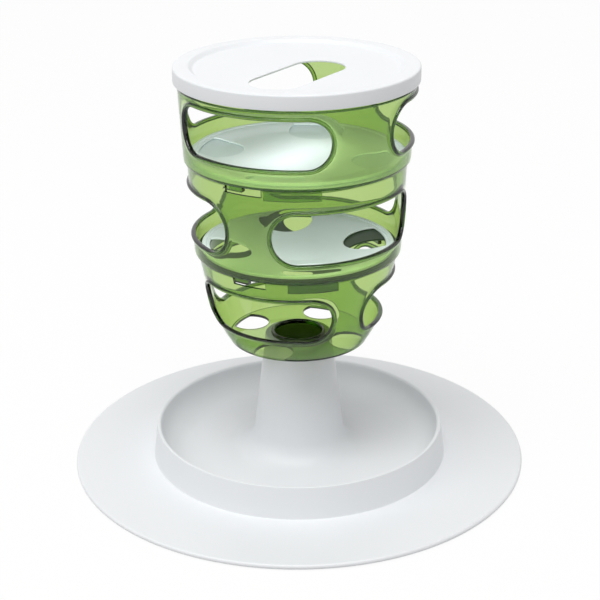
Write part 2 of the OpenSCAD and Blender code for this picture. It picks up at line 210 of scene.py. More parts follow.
class Modeller:
    """An edit-mode session on one new mesh, whose object stays at the origin.

    Attributes:
        object: The object that is being modelled.
        radius: Radius of the ring that was made last.
        height: Height of the ring that was made last.
    """

    def __init__(self, name: str) -> None:
        """Starts an empty mesh and enters edit mode.

        Args:
            name: Name of the piece.
        """
        self.object = bpy.data.objects.new(name, bpy.data.meshes.new(name))
        bpy.context.collection.objects.link(self.object)
        choose(self.object)
        bpy.ops.object.mode_set(mode="EDIT")
        bpy.ops.mesh.select_mode(type="EDGE")
        self.radius = 0.0
        self.height = 0.0

    def circle(self, radius: float, height: float, steps: int) -> None:
        """Adds a circle round the axis and leaves it selected.

        Args:
            radius: Radius of the circle.
            height: Height of the circle.
            steps: Number of its edges.
        """
        bpy.ops.mesh.select_all(action="DESELECT")
        bpy.ops.mesh.primitive_circle_add(vertices=steps, radius=radius * MM, location=(0, 0, height * MM))
        self.radius, self.height = radius, height

    def ring(self, radius: float, height: float) -> None:
        """Extrudes the selected ring to a new radius and height.

        Args:
            radius: Radius of the new ring, where 0 draws it into a pole.
            height: Height of the new ring.
        """
        rise = (height - self.height) * MM
        grow = radius / self.radius
        bpy.ops.mesh.extrude_edges_move(TRANSFORM_OT_translate={"value": (0, 0, rise)})
        bpy.ops.transform.resize(value=(grow, grow, 1), center_override=(0, 0, height * MM))
        self.radius, self.height = radius, height

    def rings(self, profile: Sequence[Flat]) -> None:
        """Extrudes the selected ring along a profile of radii and heights.

        Args:
            profile: Radius and height of each ring in order.
        """
        for radius, height in profile:
            self.ring(radius, height)

    def pick_circle(self, radius: float, height: float) -> None:
        """Selects the open circle of edges at a radius and height.

        Args:
            radius: Radius of the circle.
            height: Height of the circle.
        """
        bpy.ops.mesh.select_all(action="DESELECT")
        mesh = bmesh.from_edit_mesh(self.object.data)
        for edge in mesh.edges:
            if edge.is_boundary and all(self._lies_on(v.co, radius, height) for v in edge.verts):
                edge.select_set(True)
        bmesh.update_edit_mesh(self.object.data)
        self.radius, self.height = radius, height

    @staticmethod
    def _lies_on(point: Vector, radius: float, height: float) -> bool:
        """Tells whether a point lies on a circle round the axis, to a hundredth of a millimetre."""
        off = math.hypot(point.xy.length - radius * MM, point.z - height * MM)
        return off < MERGE_DISTANCE

    def first_loop(self, points: Sequence[Vector]) -> None:
        """Adds a closed loop of edges and leaves it selected.

        Args:
            points: Corners of the loop in order, in metres.
        """
        bpy.ops.mesh.select_all(action="DESELECT")
        bpy.ops.mesh.primitive_circle_add(vertices=len(points), radius=MM)
        mesh = bmesh.from_edit_mesh(self.object.data)
        step = mesh.verts.layers.int.get(STEP_LAYER) or mesh.verts.layers.int.new(STEP_LAYER)
        for number, vertex in enumerate(v for v in mesh.verts if v.select):
            vertex[step] = number
        self._place(points)

    def loop(self, points: Sequence[Vector]) -> None:
        """Extrudes the selected loop to new corners.

        Args:
            points: Corners of the new loop, in the order of the first loop.
        """
        bpy.ops.mesh.extrude_edges_move()
        self._place(points)

    def _place(self, points: Sequence[Vector]) -> None:
        """Moves the selected loop's corners.

        Args:
            points: Where the corners go, in the order of the first loop.
        """
        mesh = bmesh.from_edit_mesh(self.object.data)
        step = mesh.verts.layers.int[STEP_LAYER]
        for vertex in mesh.verts:
            if vertex.select:
                vertex.co = points[vertex[step]]
        bmesh.update_edit_mesh(self.object.data)

    def fold(self, count: int) -> None:
        """Repeats all that is modelled so far round the axis and joins the copies.

        Args:
            count: Number of copies, the first one included.
        """
        bpy.ops.mesh.select_all(action="SELECT")
        for _ in range(count - 1):
            bpy.ops.mesh.duplicate()
            bpy.ops.transform.rotate(value=2 * math.pi / count, orient_axis="Z", center_override=(0, 0, 0))
        bpy.ops.mesh.select_all(action="SELECT")
        bpy.ops.mesh.remove_doubles(threshold=MERGE_DISTANCE)

    def close(self) -> bpy.types.Object:
        """Joins seams and poles, turns the faces outwards and leaves edit mode.

        Returns:
            The finished object.
        """
        bpy.ops.mesh.select_all(action="SELECT")
        bpy.ops.mesh.remove_doubles(threshold=MERGE_DISTANCE)
        bpy.ops.mesh.normals_make_consistent(inside=False)
        bpy.ops.object.mode_set(mode="OBJECT")
        left = self.object.data.attributes.get(STEP_LAYER)
        if left:
            self.object.data.attributes.remove(left)
        return self.object


def combine(piece: bpy.types.Object, tool: bpy.types.Object, how: Cut) -> None:
    """Adds a tool solid to a piece, or takes it away, and deletes the tool.

    Args:
        piece: Object that is changed.
        tool: Closed solid to combine it with.
        how: Whether the tool is added or taken away.
    """
    choose(piece)
    cut = piece.modifiers.new(how.name.lower(), "BOOLEAN")
    cut.operation = how.value
    cut.solver = "EXACT"
    cut.object = tool
    bpy.ops.object.modifier_apply(modifier=cut.name)
    bpy.data.objects.remove(tool)


def smooth(piece: bpy.types.Object) -> None:
    """Shades a piece smooth, apart from its sharp edges."""
    choose(piece)
    bpy.ops.object.shade_smooth_by_angle(angle=SMOOTH_ANGLE)


def dress(piece: bpy.types.Object, node: str, body: str, finish: Finish,
          materials: dict[Finish, bpy.types.Material]) -> None:
    """Gives a new piece its finish and puts it in the place of its CAD node.

    Args:
        piece: The modelled piece.
        node: CAD node that it stands for.
        body: CAD body that it moves with.
        finish: The finish that it gets.
        materials: The finished materials.
    """
    piece.data.materials.clear()
    piece.data.materials.append(materials[finish])
    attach(piece, body)
    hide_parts(node)
    finish.slot
    LOG.info("%s stands for %s on %s", piece.name, node, body)


def bent_blocks(name: str, turn: float, span: float, radii: Flat, heights: Flat,
                count: int) -> bpy.types.Object:
    """Models blocks that bend round the axis, evenly spaced.

    Args:
        name: Name of the object.
        turn: Azimuth of the first block's middle.
        span: Angle that a block covers.
        radii: Inner and outer radius.
        heights: Lowest and highest height.
        count: Number of blocks.

    Returns:
        One object of closed blocks.
    """
    steps = 12
    (inside, outside), (low, high) = radii, heights
    corners = ((inside, low), (outside, low), (outside, high), (inside, high))
    azimuths = [turn + span * (i / steps - 0.5) for i in range(steps + 1)]
    loops = [[polar(r, azimuth, z) for r, z in corners] for azimuth in azimuths]
    blocks = Modeller(name)
    blocks.first_loop(loops[0])
    for points in loops[1:]:
        blocks.loop(points)
    bpy.ops.mesh.select_all(action="SELECT")
    bpy.ops.mesh.fill_holes(sides=len(corners))
    blocks.fold(count)
    return blocks.close()


@dataclass
class PiercedCell:
    """One opening with its edge and the sheet round it, laid out flat before it is put in place.

    Attributes:
        edge: Flat points of the opening's edge in order.
        outward: Unit directions away from the opening at those points.
        border: Flat points on the cell's border, one for each edge point.
        section: Distance from the edge and height, from the lower face round to the upper one.
        place: Puts a flat point and a height into the frame.
        shares: Where loops lie between the edge's section and the border.
    """

    edge: list[Flat]
    outward: list[Flat]
    border: list[Flat]
    section: list[Flat]
    place: Callable[[Flat, float], Vector]
    shares: tuple[float, ...] = (0.2, 0.4, 0.6, 0.8, 1.0)

    def _offset(self, distance: float) -> list[Flat]:
        """Gives the edge moved away from the opening by a distance."""
        return [(p[0] + distance * n[0], p[1] + distance * n[1]) for p, n in zip(self.edge, self.outward)]

    def _between(self, distance: float, share: float) -> list[Flat]:
        """Gives a loop at a share of the way from the moved edge to the border."""
        return [(lerp(p[0], q[0], share), lerp(p[1], q[1], share))
                for p, q in zip(self._offset(distance), self.border)]

    def build(self, modeller: Modeller) -> None:
        """Models the cell, from its border below through the opening to its border above.

        Args:
            modeller: The mesh to model in.
        """
        low, high = self.section[0], self.section[-1]
        flats = [(self._between(low[0], share), low[1]) for share in reversed(self.shares)]
        flats += [(self._offset(distance), height) for distance, height in self.section]
        flats += [(self._between(high[0], share), high[1]) for share in self.shares]
        loops = [[self.place(point, height) for point in points] for points, height in flats]
        modeller.first_loop(loops[0])
        for points in loops[1:]:
            modeller.loop(points)


@dataclass(frozen=True)
class Window:
    """A round-ended opening that wraps round a stage's wall.

    Attributes:
        low: Height of its lower edge over the stage's underside.
        height: Height of the opening.
        span: Angle that it covers.
        turn: Azimuth of the first window's middle.
    """

    low: float
    height: float
    span: float
    turn: float


@dataclass
class StageShell:
    """A see-through green shell with three lipped windows.

    Attributes:
        node: CAD node and name of the stage.
        base: Height of its underside.
        height: Height from its underside to its rim.
        foot_radius: Radius of its wall carried down to its underside.
        rim_radius: Outer radius of its rim.
        window: The opening that repeats round it.
        wall: Thickness of the wall.
        lip_width: Width of the lip round a window.
        lip_proud: How far the lip stands out.
        lip_fillet: Width of the fillet at the lip's foot.
        hanging_depth: Strength of the painted shade on the tabs and keys under the stage, from 0 to 1.
        rim_round: Rounding of the rim's corners.
        rim_depth: Strength of the painted shade along the rim, from 0 to 1.
        bead_rise: Height over the underside of the bead under the lid's skirt, or 0 for no bead.
        bead_height: Height of that bead.
        bead_proud: How far that bead stands out.
        foot_band: Height of the wall under the windowed part.
        rim_band: Height of the wall over the windowed part.
        folds: Number of windows.
        columns: Edges along a window's straight side.
        end_steps: Edges round a window's end.
        corner_steps: Edges of an end that meet the cell's top or bottom.
        ring_steps: Edges round a full ring.
    """

    node: str
    base: float
    height: float
    foot_radius: float
    rim_radius: float
    window: Window
    wall: float = 2.2
    lip_width: float = 3.0
    lip_proud: float = 1.7
    lip_fillet: float = 0.5
    hanging_depth: float = 0.0
    rim_round: float = 0.6
    rim_depth: float = 0.5
    bead_rise: float = 0.0
    bead_height: float = 1.6
    bead_proud: float = 0.8
    foot_band: float = 3.4
    rim_band: float = 2.0
    folds: int = 3
    columns: int = 52
    end_steps: int = 24
    corner_steps: int = 6
    ring_steps: int = 256

    @property
    def rim(self) -> float:
        """Height of the rim."""
        return self.base + self.height

    @property
    def cell_low(self) -> float:
        """Height at which the windowed wall begins."""
        return self.base + self.foot_band

    @property
    def cell_high(self) -> float:
        """Height at which the windowed wall ends."""
        return self.rim - self.rim_band

    @property
    def window_radius(self) -> float:
        """Radius of a window's round end."""
        return self.window.height / 2

    @property
    def window_middle(self) -> float:
        """Height of the windows' middle."""
        return self.base + self.window.low + self.window_radius

    @property
    def arc_length(self) -> float:
        """Length of one degree of the wall at the windows' middle."""
        return math.radians(1) * self.outer_radius(self.window_middle)

    @property
    def window_run(self) -> float:
        """Half length of a window's straight side."""
        return self.arc_length * self.window.span / 2 - self.window_radius

    def outer_radius(self, height: float) -> float:
        """Gives the outer radius of the wall at a height."""
        return lerp(self.foot_radius, self.rim_radius, (height - self.base) / self.height)

    def inner_radius(self, height: float) -> float:
        """Gives the inner radius of the wall at a height."""
        return self.outer_radius(height) - self.wall

    def lip_section(self) -> list[Flat]:
        """Gives the section of a window's edge, from the inner face round the lip to the outer face.

        Returns:
            Points of distance from the edge and height over the outer face.
        """
        inner_round = 0.4 * self.wall
        foot_out, foot_up = 0.3 * self.lip_fillet, 0.1 * self.lip_proud
        half = self.lip_width / 2
        end = self.lip_width + self.lip_fillet
        inside = arc((inner_round, inner_round - self.wall), inner_round, 270, 180, 5)
        bead = [(half * (1 - math.cos(a)), self.lip_proud * math.sin(a))
                for a in (math.radians(15 * i) for i in range(12))]
        foot = [(self.lip_width + foot_out, foot_up), (end, 0.0)]
        return [(end, -self.wall), *inside, *bead, *foot]

    def window_cell(self) -> PiercedCell:
        """Lays out one window with the third of the wall round it.

        Returns:
            The cell, with arc length and height as flat sizes.
        """
        radius, middle = self.window_radius, self.window_middle
        arc_length, straight = self.arc_length, self.window_run
        half = arc_length * 180 / self.folds
        side_steps = self.end_steps - 2 * self.corner_steps
        step = 2 * half / (self.columns + 2 * self.corner_steps)
        edge: list[Flat] = []
        outward: list[Flat] = []
        border: list[Flat] = []
        for side, end_z in ((1, self.cell_high), (-1, self.cell_low)):
            other_z = self.cell_low if side > 0 else self.cell_high
            for i in range(self.columns):
                edge.append((side * lerp(-straight, straight, i / self.columns), middle + side * radius))
                outward.append((0.0, float(side)))
                border.append((side * (-half + (self.corner_steps + i) * step), end_z))
            for j in range(self.end_steps):
                angle = math.radians(side * 90 - 180 * j / self.end_steps)
                outward.append((math.cos(angle), math.sin(angle)))
                edge.append((side * straight + radius * outward[-1][0], middle + radius * outward[-1][1]))
                along = (j - self.corner_steps) / side_steps
                if along < 0:
                    border.append((side * (half + (j - self.corner_steps) * step), end_z))
                elif along <= 1:
                    border.append((side * half, lerp(end_z, other_z, along)))
                else:
                    past = j - self.end_steps + self.corner_steps
                    border.append((side * (half - past * step), other_z))

        def place(point: Flat, height: float) -> Vector:
            """Wraps a flat point round the wall.

            Args:
                point: Arc length and height.
                height: Distance out from the outer face, below 0 inside the wall.

            Returns:
                The point in metres.
            """
            azimuth = self.window.turn + point[0] / arc_length
            inside = self.inner_radius(point[1])
            outside = self.outer_radius(point[1])
            share = 1 + min(height, 0) / self.wall
            return polar(lerp(inside, outside, share) + max(height, 0), azimuth, point[1])

        return PiercedCell(edge, outward, border, self.lip_section(), place)

    def rim_profile(self) -> list[Flat]:
        """Gives the rings over the rim, from the outer face to the inner face.

        Returns:
            Radius and height of each ring.
        """
        top = self.rim - REST_GAP
        outer = arc((self.rim_radius - self.rim_round, top - self.rim_round), self.rim_round, 0, 90, 5)
        inner_r = self.rim_radius - self.wall + self.rim_round
        inner = arc((inner_r, top - self.rim_round), self.rim_round, 90, 180, 5)
        return [*outer, *inner, (self.inner_radius(self.cell_high), self.cell_high)]

    def _lip_mark(self, off: float, deep: float) -> float:
        """Tells how much painted shade a lip gets, standing in for the dark that its long path through the
        plastic shows.

        Args:
            off: Distance from the window's edge.
            deep: Distance in from the wall's outer face.

        Returns:
            The painted shade, 1 at its most and below 0 off the lip.
        """
        if deep > self.wall / 2:
            return 1 - 2 * off / self.wall
        if off < self.lip_width:
            return abs(math.cos(math.pi * off / self.lip_width))
        return 1 - (off - self.lip_width) / self.lip_fillet

    def _edge_marks(self, mesh: bpy.types.Mesh) -> list[float]:
        """Tells how much painted shade each point of the wall, its lips, its rim and its bead gets.

        Args:
            mesh: Mesh of the finished stage.

        Returns:
            A value from 0 to 1 for each point.
        """
        radius, middle = self.window_radius, self.window_middle
        arc_length, straight = self.arc_length, self.window_run
        third = 360 / self.folds
        marks = []
        for vertex in mesh.vertices:
            x, y, z = vertex.co / MM
            azimuth = math.degrees(math.atan2(x, -y)) - self.window.turn
            along = abs((azimuth + third / 2) % third - third / 2) * arc_length
            off = math.hypot(max(along - straight, 0.0), z - middle) - radius
            deep = self.outer_radius(z) - math.hypot(x, y)
            # Painted shade on the lips.
            lip = self._lip_mark(off, deep) if deep < 2 * self.wall else 0.0
            # Painted shade along the rim's top.
            rim = self.rim_depth if z > self.rim - 2 * self.rim_round else 0.0
            # Painted shade: the bead under the lid's skirt is painted fully dark, for the shade line there.
            from_bead = abs(z - self.base - self.bead_rise)
            bead = 1.0 if deep < -self.bead_proud / 8 and from_bead < self.bead_height else 0.0
            marks.append(max(0.0, min(lip, 1.0), rim, bead))
        return marks

    def mark_edges(self, piece: bpy.types.Object) -> None:
        """Paints shade into the colour of lips, rim, bead and what hangs under the stage, standing in for
        the dark that light running far through the plastic gives them.

        Args:
            piece: The finished stage, which gets one value of painted shade from 0 to 1 at each corner of
                each face.
        """
        mesh = piece.data
        marks = self._edge_marks(mesh)
        slack = 0.3
        layer = mesh.attributes.new(EDGE_LAYER, "FLOAT", "CORNER")
        for face in mesh.polygons:
            heights = [mesh.vertices[i].co.z / MM - self.base for i in face.vertices]
            hangs = max(heights) < slack and min(heights) < -slack
            # Painted shade on the tabs and keys that hang under the stage.
            least = self.hanging_depth if hangs else 0.0
            for corner, vertex in zip(face.loop_indices, face.vertices):
                layer.data[corner].value = max(marks[vertex], least)

    def build_wall(self) -> Modeller:
        """Models the windowed wall and its rim.

        Returns:
            The mesh, still open at the foot of the wall.
        """
        modeller = Modeller(f"{self.node}_shell")
        self.window_cell().build(modeller)
        modeller.fold(self.folds)
        modeller.pick_circle(self.outer_radius(self.cell_high), self.cell_high)
        modeller.rings(self.rim_profile())
        return modeller


@dataclass
class PetalSheet:
    """A flat round sheet with petal holes round the axis.

    Attributes:
        low: Height of the lower face.
        thickness: Thickness of the sheet.
        turn: Azimuth of the first petal.
        width: Width of a petal's round end.
        middle: Radius of the circle that the round ends lie on.
        outer: Radius of the arc that cuts the petals off.
        border_in: Radius inside which no petal reaches.
        border_out: Radius outside which no petal reaches.
        rounding: Rounding of the petals' edges.
        petals: Number of petals.
        dish: How the sheet slopes down to its middle.
        arc_steps: Edges of the arc that cuts a petal off.
        corner_steps: Edges of the round end that meet the outer border, on each side.
        side_steps: Edges of the round end that meet a sector's side.
        inner_steps: Edges of the round end that meet the inner border.
    """

    low: float
    thickness: float
    turn: float
    width: float
    middle: float
    outer: float
    border_in: float
    border_out: float
    rounding: float = 0.3
    petals: int = 4
    dish: Dish = Dish()
    arc_steps: int = 32
    corner_steps: int = 8
    side_steps: int = 10
    inner_steps: int = 24

    def under(self, radius: float) -> Flat:
        """Gives the radius and height of the lower face at a radius."""
        return radius, self.low - self.dish.drop(radius)

    def over(self, radius: float) -> Flat:
        """Gives the radius and height of the upper face at a radius."""
        return radius, self.low + self.thickness - self.dish.drop(radius)

    def inward(self, end: float) -> list[float]:
        """Gives the radii of rings from the inner border inwards, close together in the bend.

        Args:
            end: Radius of the last ring.

        Returns:
            The radii in order.
        """
        reach, steps = 1.2 * self.dish.bend, 6
        bends = [self.dish.inner + lerp(reach, -reach, i / steps) for i in range(steps + 1)]
        return [radius for radius in bends if end < radius < self.border_in] + [end]

    def cell(self) -> PiercedCell:
        """Lays out one petal with its sector of the sheet.

        Returns:
            The cell, with the petal's middle on the first flat axis.
        """
        radius = self.width / 2
        cross = (self.outer ** 2 + self.middle ** 2 - radius ** 2) / (2 * self.middle)
        cut = math.atan2(math.sqrt(self.outer ** 2 - cross ** 2), cross)
        open_angle = math.atan2(self.outer * math.sin(cut), self.outer * math.cos(cut) - self.middle)
        half = math.pi / self.petals
        outer_step = 2 * half / (self.arc_steps + 2 * self.corner_steps)
        round_steps = 2 * (self.corner_steps + self.side_steps) + self.inner_steps
        edge: list[Flat] = []
        outward: list[Flat] = []
        border: list[Flat] = []

        def on_border(share_r: float, angle: float) -> Flat:
            """Gives a border point from a share of the way outwards and an angle."""
            r = lerp(self.border_in, self.border_out, share_r)
            return r * math.cos(angle), r * math.sin(angle)

        for i in range(self.arc_steps):
            angle = lerp(-cut, cut, i / self.arc_steps)
            outward.append((math.cos(angle), math.sin(angle)))
            edge.append((self.outer * outward[-1][0], self.outer * outward[-1][1]))
            border.append(on_border(1, (self.corner_steps + i) * outer_step - half))
        for j in range(round_steps):
            angle = lerp(open_angle, 2 * math.pi - open_angle, j / round_steps)
            outward.append((math.cos(angle), math.sin(angle)))
            edge.append((self.middle + radius * outward[-1][0], radius * outward[-1][1]))
            far = min(j, round_steps - j)
            side = 1 if j <= round_steps / 2 else -1
            down = (far - self.corner_steps) / self.side_steps
            if down < 0:
                border.append(on_border(1, side * (half - (self.corner_steps - far) * outer_step)))
            elif down <= 1:
                border.append(on_border(1 - down, side * half))
            else:
                past = (far - self.corner_steps - self.side_steps) / self.inner_steps
                border.append(on_border(0, side * half * (1 - 2 * past)))
        for corner, sign in ((0, -1), (self.arc_steps, 1)):
            bend = Vector((math.cos(cut), sign * math.sin(cut)))
            bend += Vector((math.cos(open_angle), sign * math.sin(open_angle)))
            outward[corner] = tuple(bend.normalized())
        middle_height = self.low + self.thickness / 2

        def place(point: Flat, height: float) -> Vector:
            """Turns a flat point to its petal's azimuth.

            Args:
                point: The point, with the petal's middle on the first axis.
                height: Height over the middle of the sheet.

            Returns:
                The point in metres.
            """
            azimuth = self.turn + math.degrees(math.atan2(point[1], point[0]))
            radius = math.hypot(*point)
            return polar(radius, azimuth, middle_height + height - self.dish.drop(radius))

        section = sheet_edge(self.thickness, self.rounding)
        return PiercedCell(edge, outward, border, section, place)

    def build(self, modeller: Modeller) -> None:
        """Models the sheet's ring of petals, open at its inner and outer border.

        Args:
            modeller: The mesh to model in.
        """
        self.cell().build(modeller)
        modeller.fold(self.petals)


@dataclass
class StageJoint:
    """What joins a stage to the rim under it: hanging tabs, and keys in rim notches.

    Attributes:
        tab_turn: Azimuth of the first tab.
        tab_span: Angle of a tab.
        tab_drop: How far a tab hangs down.
        tab_thickness: Thickness of a tab.
        tab_gap: Gap between the tabs and the rim.
        notch_turn: Azimuth of the first notch.
        notch_span: Angle of a notch.
        notch_drop: Depth of a notch.
        key_turn: Azimuth of a key.
        key_span: Angle of a key.
        key_drop: How far a key drops into its notch.
        key_gap: Gap between a key and the rim's outer face.
        key_deep: How far a key reaches in past the wall.
        root: How far tabs and keys reach into the ledge above them.
    """

    tab_turn: float
    tab_span: float = 30
    tab_drop: float = 8.6
    tab_thickness: float = 3.0
    tab_gap: float = 0.4
    notch_turn: float = -28.5
    notch_span: float = 20.5
    notch_drop: float = 6
    key_turn: float = -33.0
    key_span: float = 9
    key_drop: float = 3.8
    key_gap: float = 0.3
    key_deep: float = 2.5
    root: float = 0.9

    def hang(self, piece: bpy.types.Object, base: float, under: StageShell) -> None:
        """Adds the tabs and keys under a stage.

        Args:
            piece: The stage's mesh.
            base: Height of the stage's underside.
            under: The stage whose rim they drop into.
        """
        tab_r = under.inner_radius(base - self.tab_drop) - self.tab_gap
        heights = (base - self.tab_drop, base + self.root)
        tabs = bent_blocks("tabs", self.tab_turn, self.tab_span, (tab_r - self.tab_thickness, tab_r),
                           heights, under.folds)
        combine(piece, tabs, Cut.ADD)
        radii = (under.rim_radius - under.wall - self.key_deep, under.rim_radius - self.key_gap)
        heights = (base - self.key_drop, base + self.root)
        keys = bent_blocks("keys", self.key_turn, self.key_span, radii, heights, under.folds)
        combine(piece, keys, Cut.ADD)

    def notch(self, piece: bpy.types.Object, stage: StageShell) -> None:
        """Cuts the notches into a stage's rim.

        Args:
            piece: The stage's mesh.
            stage: Sizes of that stage.
        """
        over = 3.0
        radii = (stage.rim_radius - stage.wall - over, stage.rim_radius + over)
        heights = (stage.rim - self.notch_drop, stage.rim + over)
        notches = bent_blocks("notches", self.notch_turn, self.notch_span, radii, heights, stage.folds)
        combine(piece, notches, Cut.TAKE)


@dataclass
class UpperStage(StageShell):
    """A stage with a ledge that carries a floor plate.

    Attributes:
        foot_round: Rounding of its foot.
        ledge_width: Width of the ledge.
        ledge_thickness: Thickness of the ledge.
    """

    foot_round: float = 2.4
    ledge_width: float = 8
    ledge_thickness: float = 1.8

    @property
    def ledge(self) -> float:
        """Height of the ledge's upper face."""
        return self.base + self.ledge_thickness

    @property
    def floor_radius(self) -> float:
        """Inner radius of the wall at the ledge."""
        return self.inner_radius(self.ledge)

    def foot_profile(self) -> list[Flat]:
        """Gives the rings round the foot, from the outer face under the ledge to the inner face.

        Returns:
            Radius and height of each ring.
        """
        edge = 0.5
        fillet = 0.4
        ledge_r = self.floor_radius - self.ledge_width
        bend = self.foot_round
        foot = arc((self.foot_radius - bend, self.base + bend), bend, 0, -90)
        lower = arc((ledge_r + edge, self.base + edge), edge, 270, 180, 4)
        upper = arc((ledge_r + edge, self.ledge - edge), edge, 180, 90, 4)
        inside = arc((self.floor_radius - fillet, self.ledge + fillet), fillet, 270, 360, 4)
        return [*foot, (ledge_r + 2 * edge, self.base), *lower, *upper, (ledge_r + 2 * edge, self.ledge),
                *inside, (self.inner_radius(self.cell_low), self.cell_low)]

    def lid_bead(self) -> bpy.types.Object:
        """Models the bead round the wall under the lid's skirt.

        Returns:
            A closed ring whose root lies inside the wall.
        """
        middle = self.base + self.bead_rise
        face = self.outer_radius(middle)
        root = face - self.wall / 4
        half = self.bead_height / 2
        turns = [math.radians(15 * i - 90) for i in range(13)]
        section = [(face + self.bead_proud * math.cos(a), middle + half * math.sin(a)) for a in turns]
        modeller = Modeller("lid_bead")
        modeller.circle(root, middle - half, self.ring_steps)
        modeller.rings([*section, (root, middle + half), (root, middle - half)])
        return modeller.close()

    def build(self, joint: StageJoint, under: StageShell, notched: bool) -> bpy.types.Object:
        """Models the stage.

        Args:
            joint: What joins it to the stage under it.
            under: The stage under it.
            notched: Whether its own rim has notches.

        Returns:
            The finished mesh.
        """
        modeller = self.build_wall()
        modeller.pick_circle(self.outer_radius(self.cell_low), self.cell_low)
        modeller.rings(self.foot_profile())
        piece = modeller.close()
        joint.hang(piece, self.base, under)
        if notched:
            joint.notch(piece, self)
        if self.bead_rise:
            combine(piece, self.lid_bead(), Cut.ADD)
        smooth(piece)
        self.mark_edges(piece)
        return piece


@dataclass
class BottomStage(StageShell):
    """The lowest stage: a bowl with petal holes in its floor and a well that plugs into the column.

    Attributes:
        floor_radius: Radius of its floor.
        floor_edge: Rounding under the floor's edge.
        bowl_height: Height of its bowl-shaped foot.
        bend: Radius, and height over the underside, of the point that the bowl's tangents meet in.
        well_radius: Outer radius of the well.
        well_depth: Depth of the well.
        collar: Radius of the rounded collar round the well.
        petal_turn: Azimuth of the first petal.
        petal_width: Width of a petal.
        petal_in: Radius of a petal's inner end.
        petal_rim: Floor left outside a petal.
        petal_round: Rounding of the petals' edges.
        petal_border: Radius inside which no petal reaches.
        well_fillet: Fillet round the well's floor.
        well_chamfer: Chamfer under the well.
        bowl_steps: Chords of the bowl's curve.
    """

    floor_radius: float = 54.6
    floor_edge: float = 1.6
    bowl_height: float = 30
    bend: Flat = (61.4, 10.5)
    well_radius: float = 20.6
    well_depth: float = 13
    collar: float = 1.6
    petal_turn: float = 64
    petal_width: float = 29
    petal_in: float = 28
    petal_rim: float = 3.4
    petal_round: float = 0.5
    petal_border: float = 24.5
    well_fillet: float = 1.2
    well_chamfer: float = 1.5
    bowl_steps: int = 24
    foot_band: float = 9.0

    @property
    def bowl_top(self) -> float:
        """Height at the top of the bowl."""
        return self.base + self.bowl_height

    @property
    def bowl_radius(self) -> float:
        """Outer radius at the top of the bowl."""
        return super().outer_radius(self.bowl_top)

    def outer_bowl(self) -> list[Flat]:
        """Gives the bowl's outer face.

        Returns:
            Radius and height of each ring, from the floor's edge upwards.
        """
        start = (self.floor_radius, self.base + self.floor_edge)
        bend = (self.bend[0], self.base + self.bend[1])
        return bezier(start, bend, (self.bowl_radius, self.bowl_top), self.bowl_steps)

    def inner_bowl(self) -> list[Flat]:
        """Gives the bowl's inner face.

        Returns:
            Radius and height of each ring, from the floor upwards.
        """
        start = (self.floor_radius - self.wall, self.base + self.wall)
        bend = (self.bend[0] - self.wall, self.base + self.bend[1] + self.wall / 2)
        end = (self.bowl_radius - self.wall, self.bowl_top)
        return bezier(start, bend, end, self.bowl_steps)

    @staticmethod
    def _radius_at(profile: list[Flat], height: float) -> float:
        """Gives the radius of a rising profile at a height.

        Args:
            profile: Radius and height of each ring.
            height: Height to look at.

        Returns:
            The radius there, or the last one above the profile.
        """
        for (r0, z0), (r1, z1) in zip(profile, profile[1:]):
            if height <= z1:
                return lerp(r0, r1, (height - z0) / (z1 - z0))
        return profile[-1][0]

    def outer_radius(self, height: float) -> float:
        """Gives the outer radius of the bowl or the wall at a height.

        Args:
            height: Height over the floor.

        Returns:
            The radius.
        """
        if height < self.bowl_top:
            return self._radius_at(self.outer_bowl(), height)
        return super().outer_radius(height)

    def inner_radius(self, height: float) -> float:
        """Gives the inner radius of the bowl or the wall at a height.

        Args:
            height: Height over the floor.

        Returns:
            The radius.
        """
        if height < self.bowl_top:
            return self._radius_at(self.inner_bowl(), height)
        return super().inner_radius(height)

    def floor(self) -> PetalSheet:
        """Gives the floor with its petal holes."""
        return PetalSheet(
            low=self.base, thickness=self.wall, turn=self.petal_turn, width=self.petal_width,
            middle=self.petal_in + self.petal_width / 2, outer=self.floor_radius - self.petal_rim,
            border_in=self.petal_border, border_out=self.floor_radius - self.wall - REST_GAP,
            rounding=self.petal_round)

    def build(self, joint: StageJoint) -> bpy.types.Object:
        """Models the stage.

        Args:
            joint: What joins the next stage to its rim.

        Returns:
            The finished mesh.
        """
        modeller = self.build_wall()
        floor = self.floor()
        below = [point for point in self.outer_bowl() if point[1] < self.cell_low]
        inside = [point for point in self.inner_bowl() if point[1] < self.cell_low]
        modeller.pick_circle(self.outer_radius(self.cell_low), self.cell_low)
        edge_r = self.floor_radius - self.floor_edge
        edge = arc((edge_r, self.base + self.floor_edge), self.floor_edge, 0, -90)
        modeller.rings([*reversed(below), *edge[1:]])
        outer_end = (modeller.radius, modeller.height)
        modeller.pick_circle(self.inner_radius(self.cell_low), self.cell_low)
        modeller.rings(list(reversed(inside)))
        inner_end = (modeller.radius, modeller.height)
        shell = modeller.close()
        modeller = Modeller(f"{self.node}_floor")
        floor.build(modeller)
        self._well(modeller, floor)
        piece = modeller.close()
        self._join(piece, shell)
        self._bridge(piece, outer_end, floor.under(floor.border_out))
        self._bridge(piece, inner_end, floor.over(floor.border_out))
        joint.notch(piece, self)
        piece.name = f"{self.node}_shell"
        smooth(piece)
        self.mark_edges(piece)
        return piece

    def _well(self, modeller: Modeller, floor: PetalSheet) -> None:
        """Models the well with its collar in the middle of the floor.

        Args:
            modeller: The mesh that holds the floor.
            floor: Sizes of the floor.
        """
        inside = self.well_radius - self.wall
        low = self.base - self.well_depth
        ground = low + self.wall
        fillet, chamfer = self.well_fillet, self.well_chamfer
        collar = arc((inside + self.collar, floor.low + floor.thickness), self.collar, 0, 180, 10)
        corner = arc((inside - fillet, ground + fillet), fillet, 0, -90, 5)
        modeller.pick_circle(*floor.over(floor.border_in))
        modeller.rings([*collar, (inside, ground + fillet), *corner, (0, ground)])
        modeller.pick_circle(*floor.under(floor.border_in))
        modeller.rings([(self.well_radius, floor.low), (self.well_radius, low + chamfer),
                        (self.well_radius - chamfer, low), (0, low)])

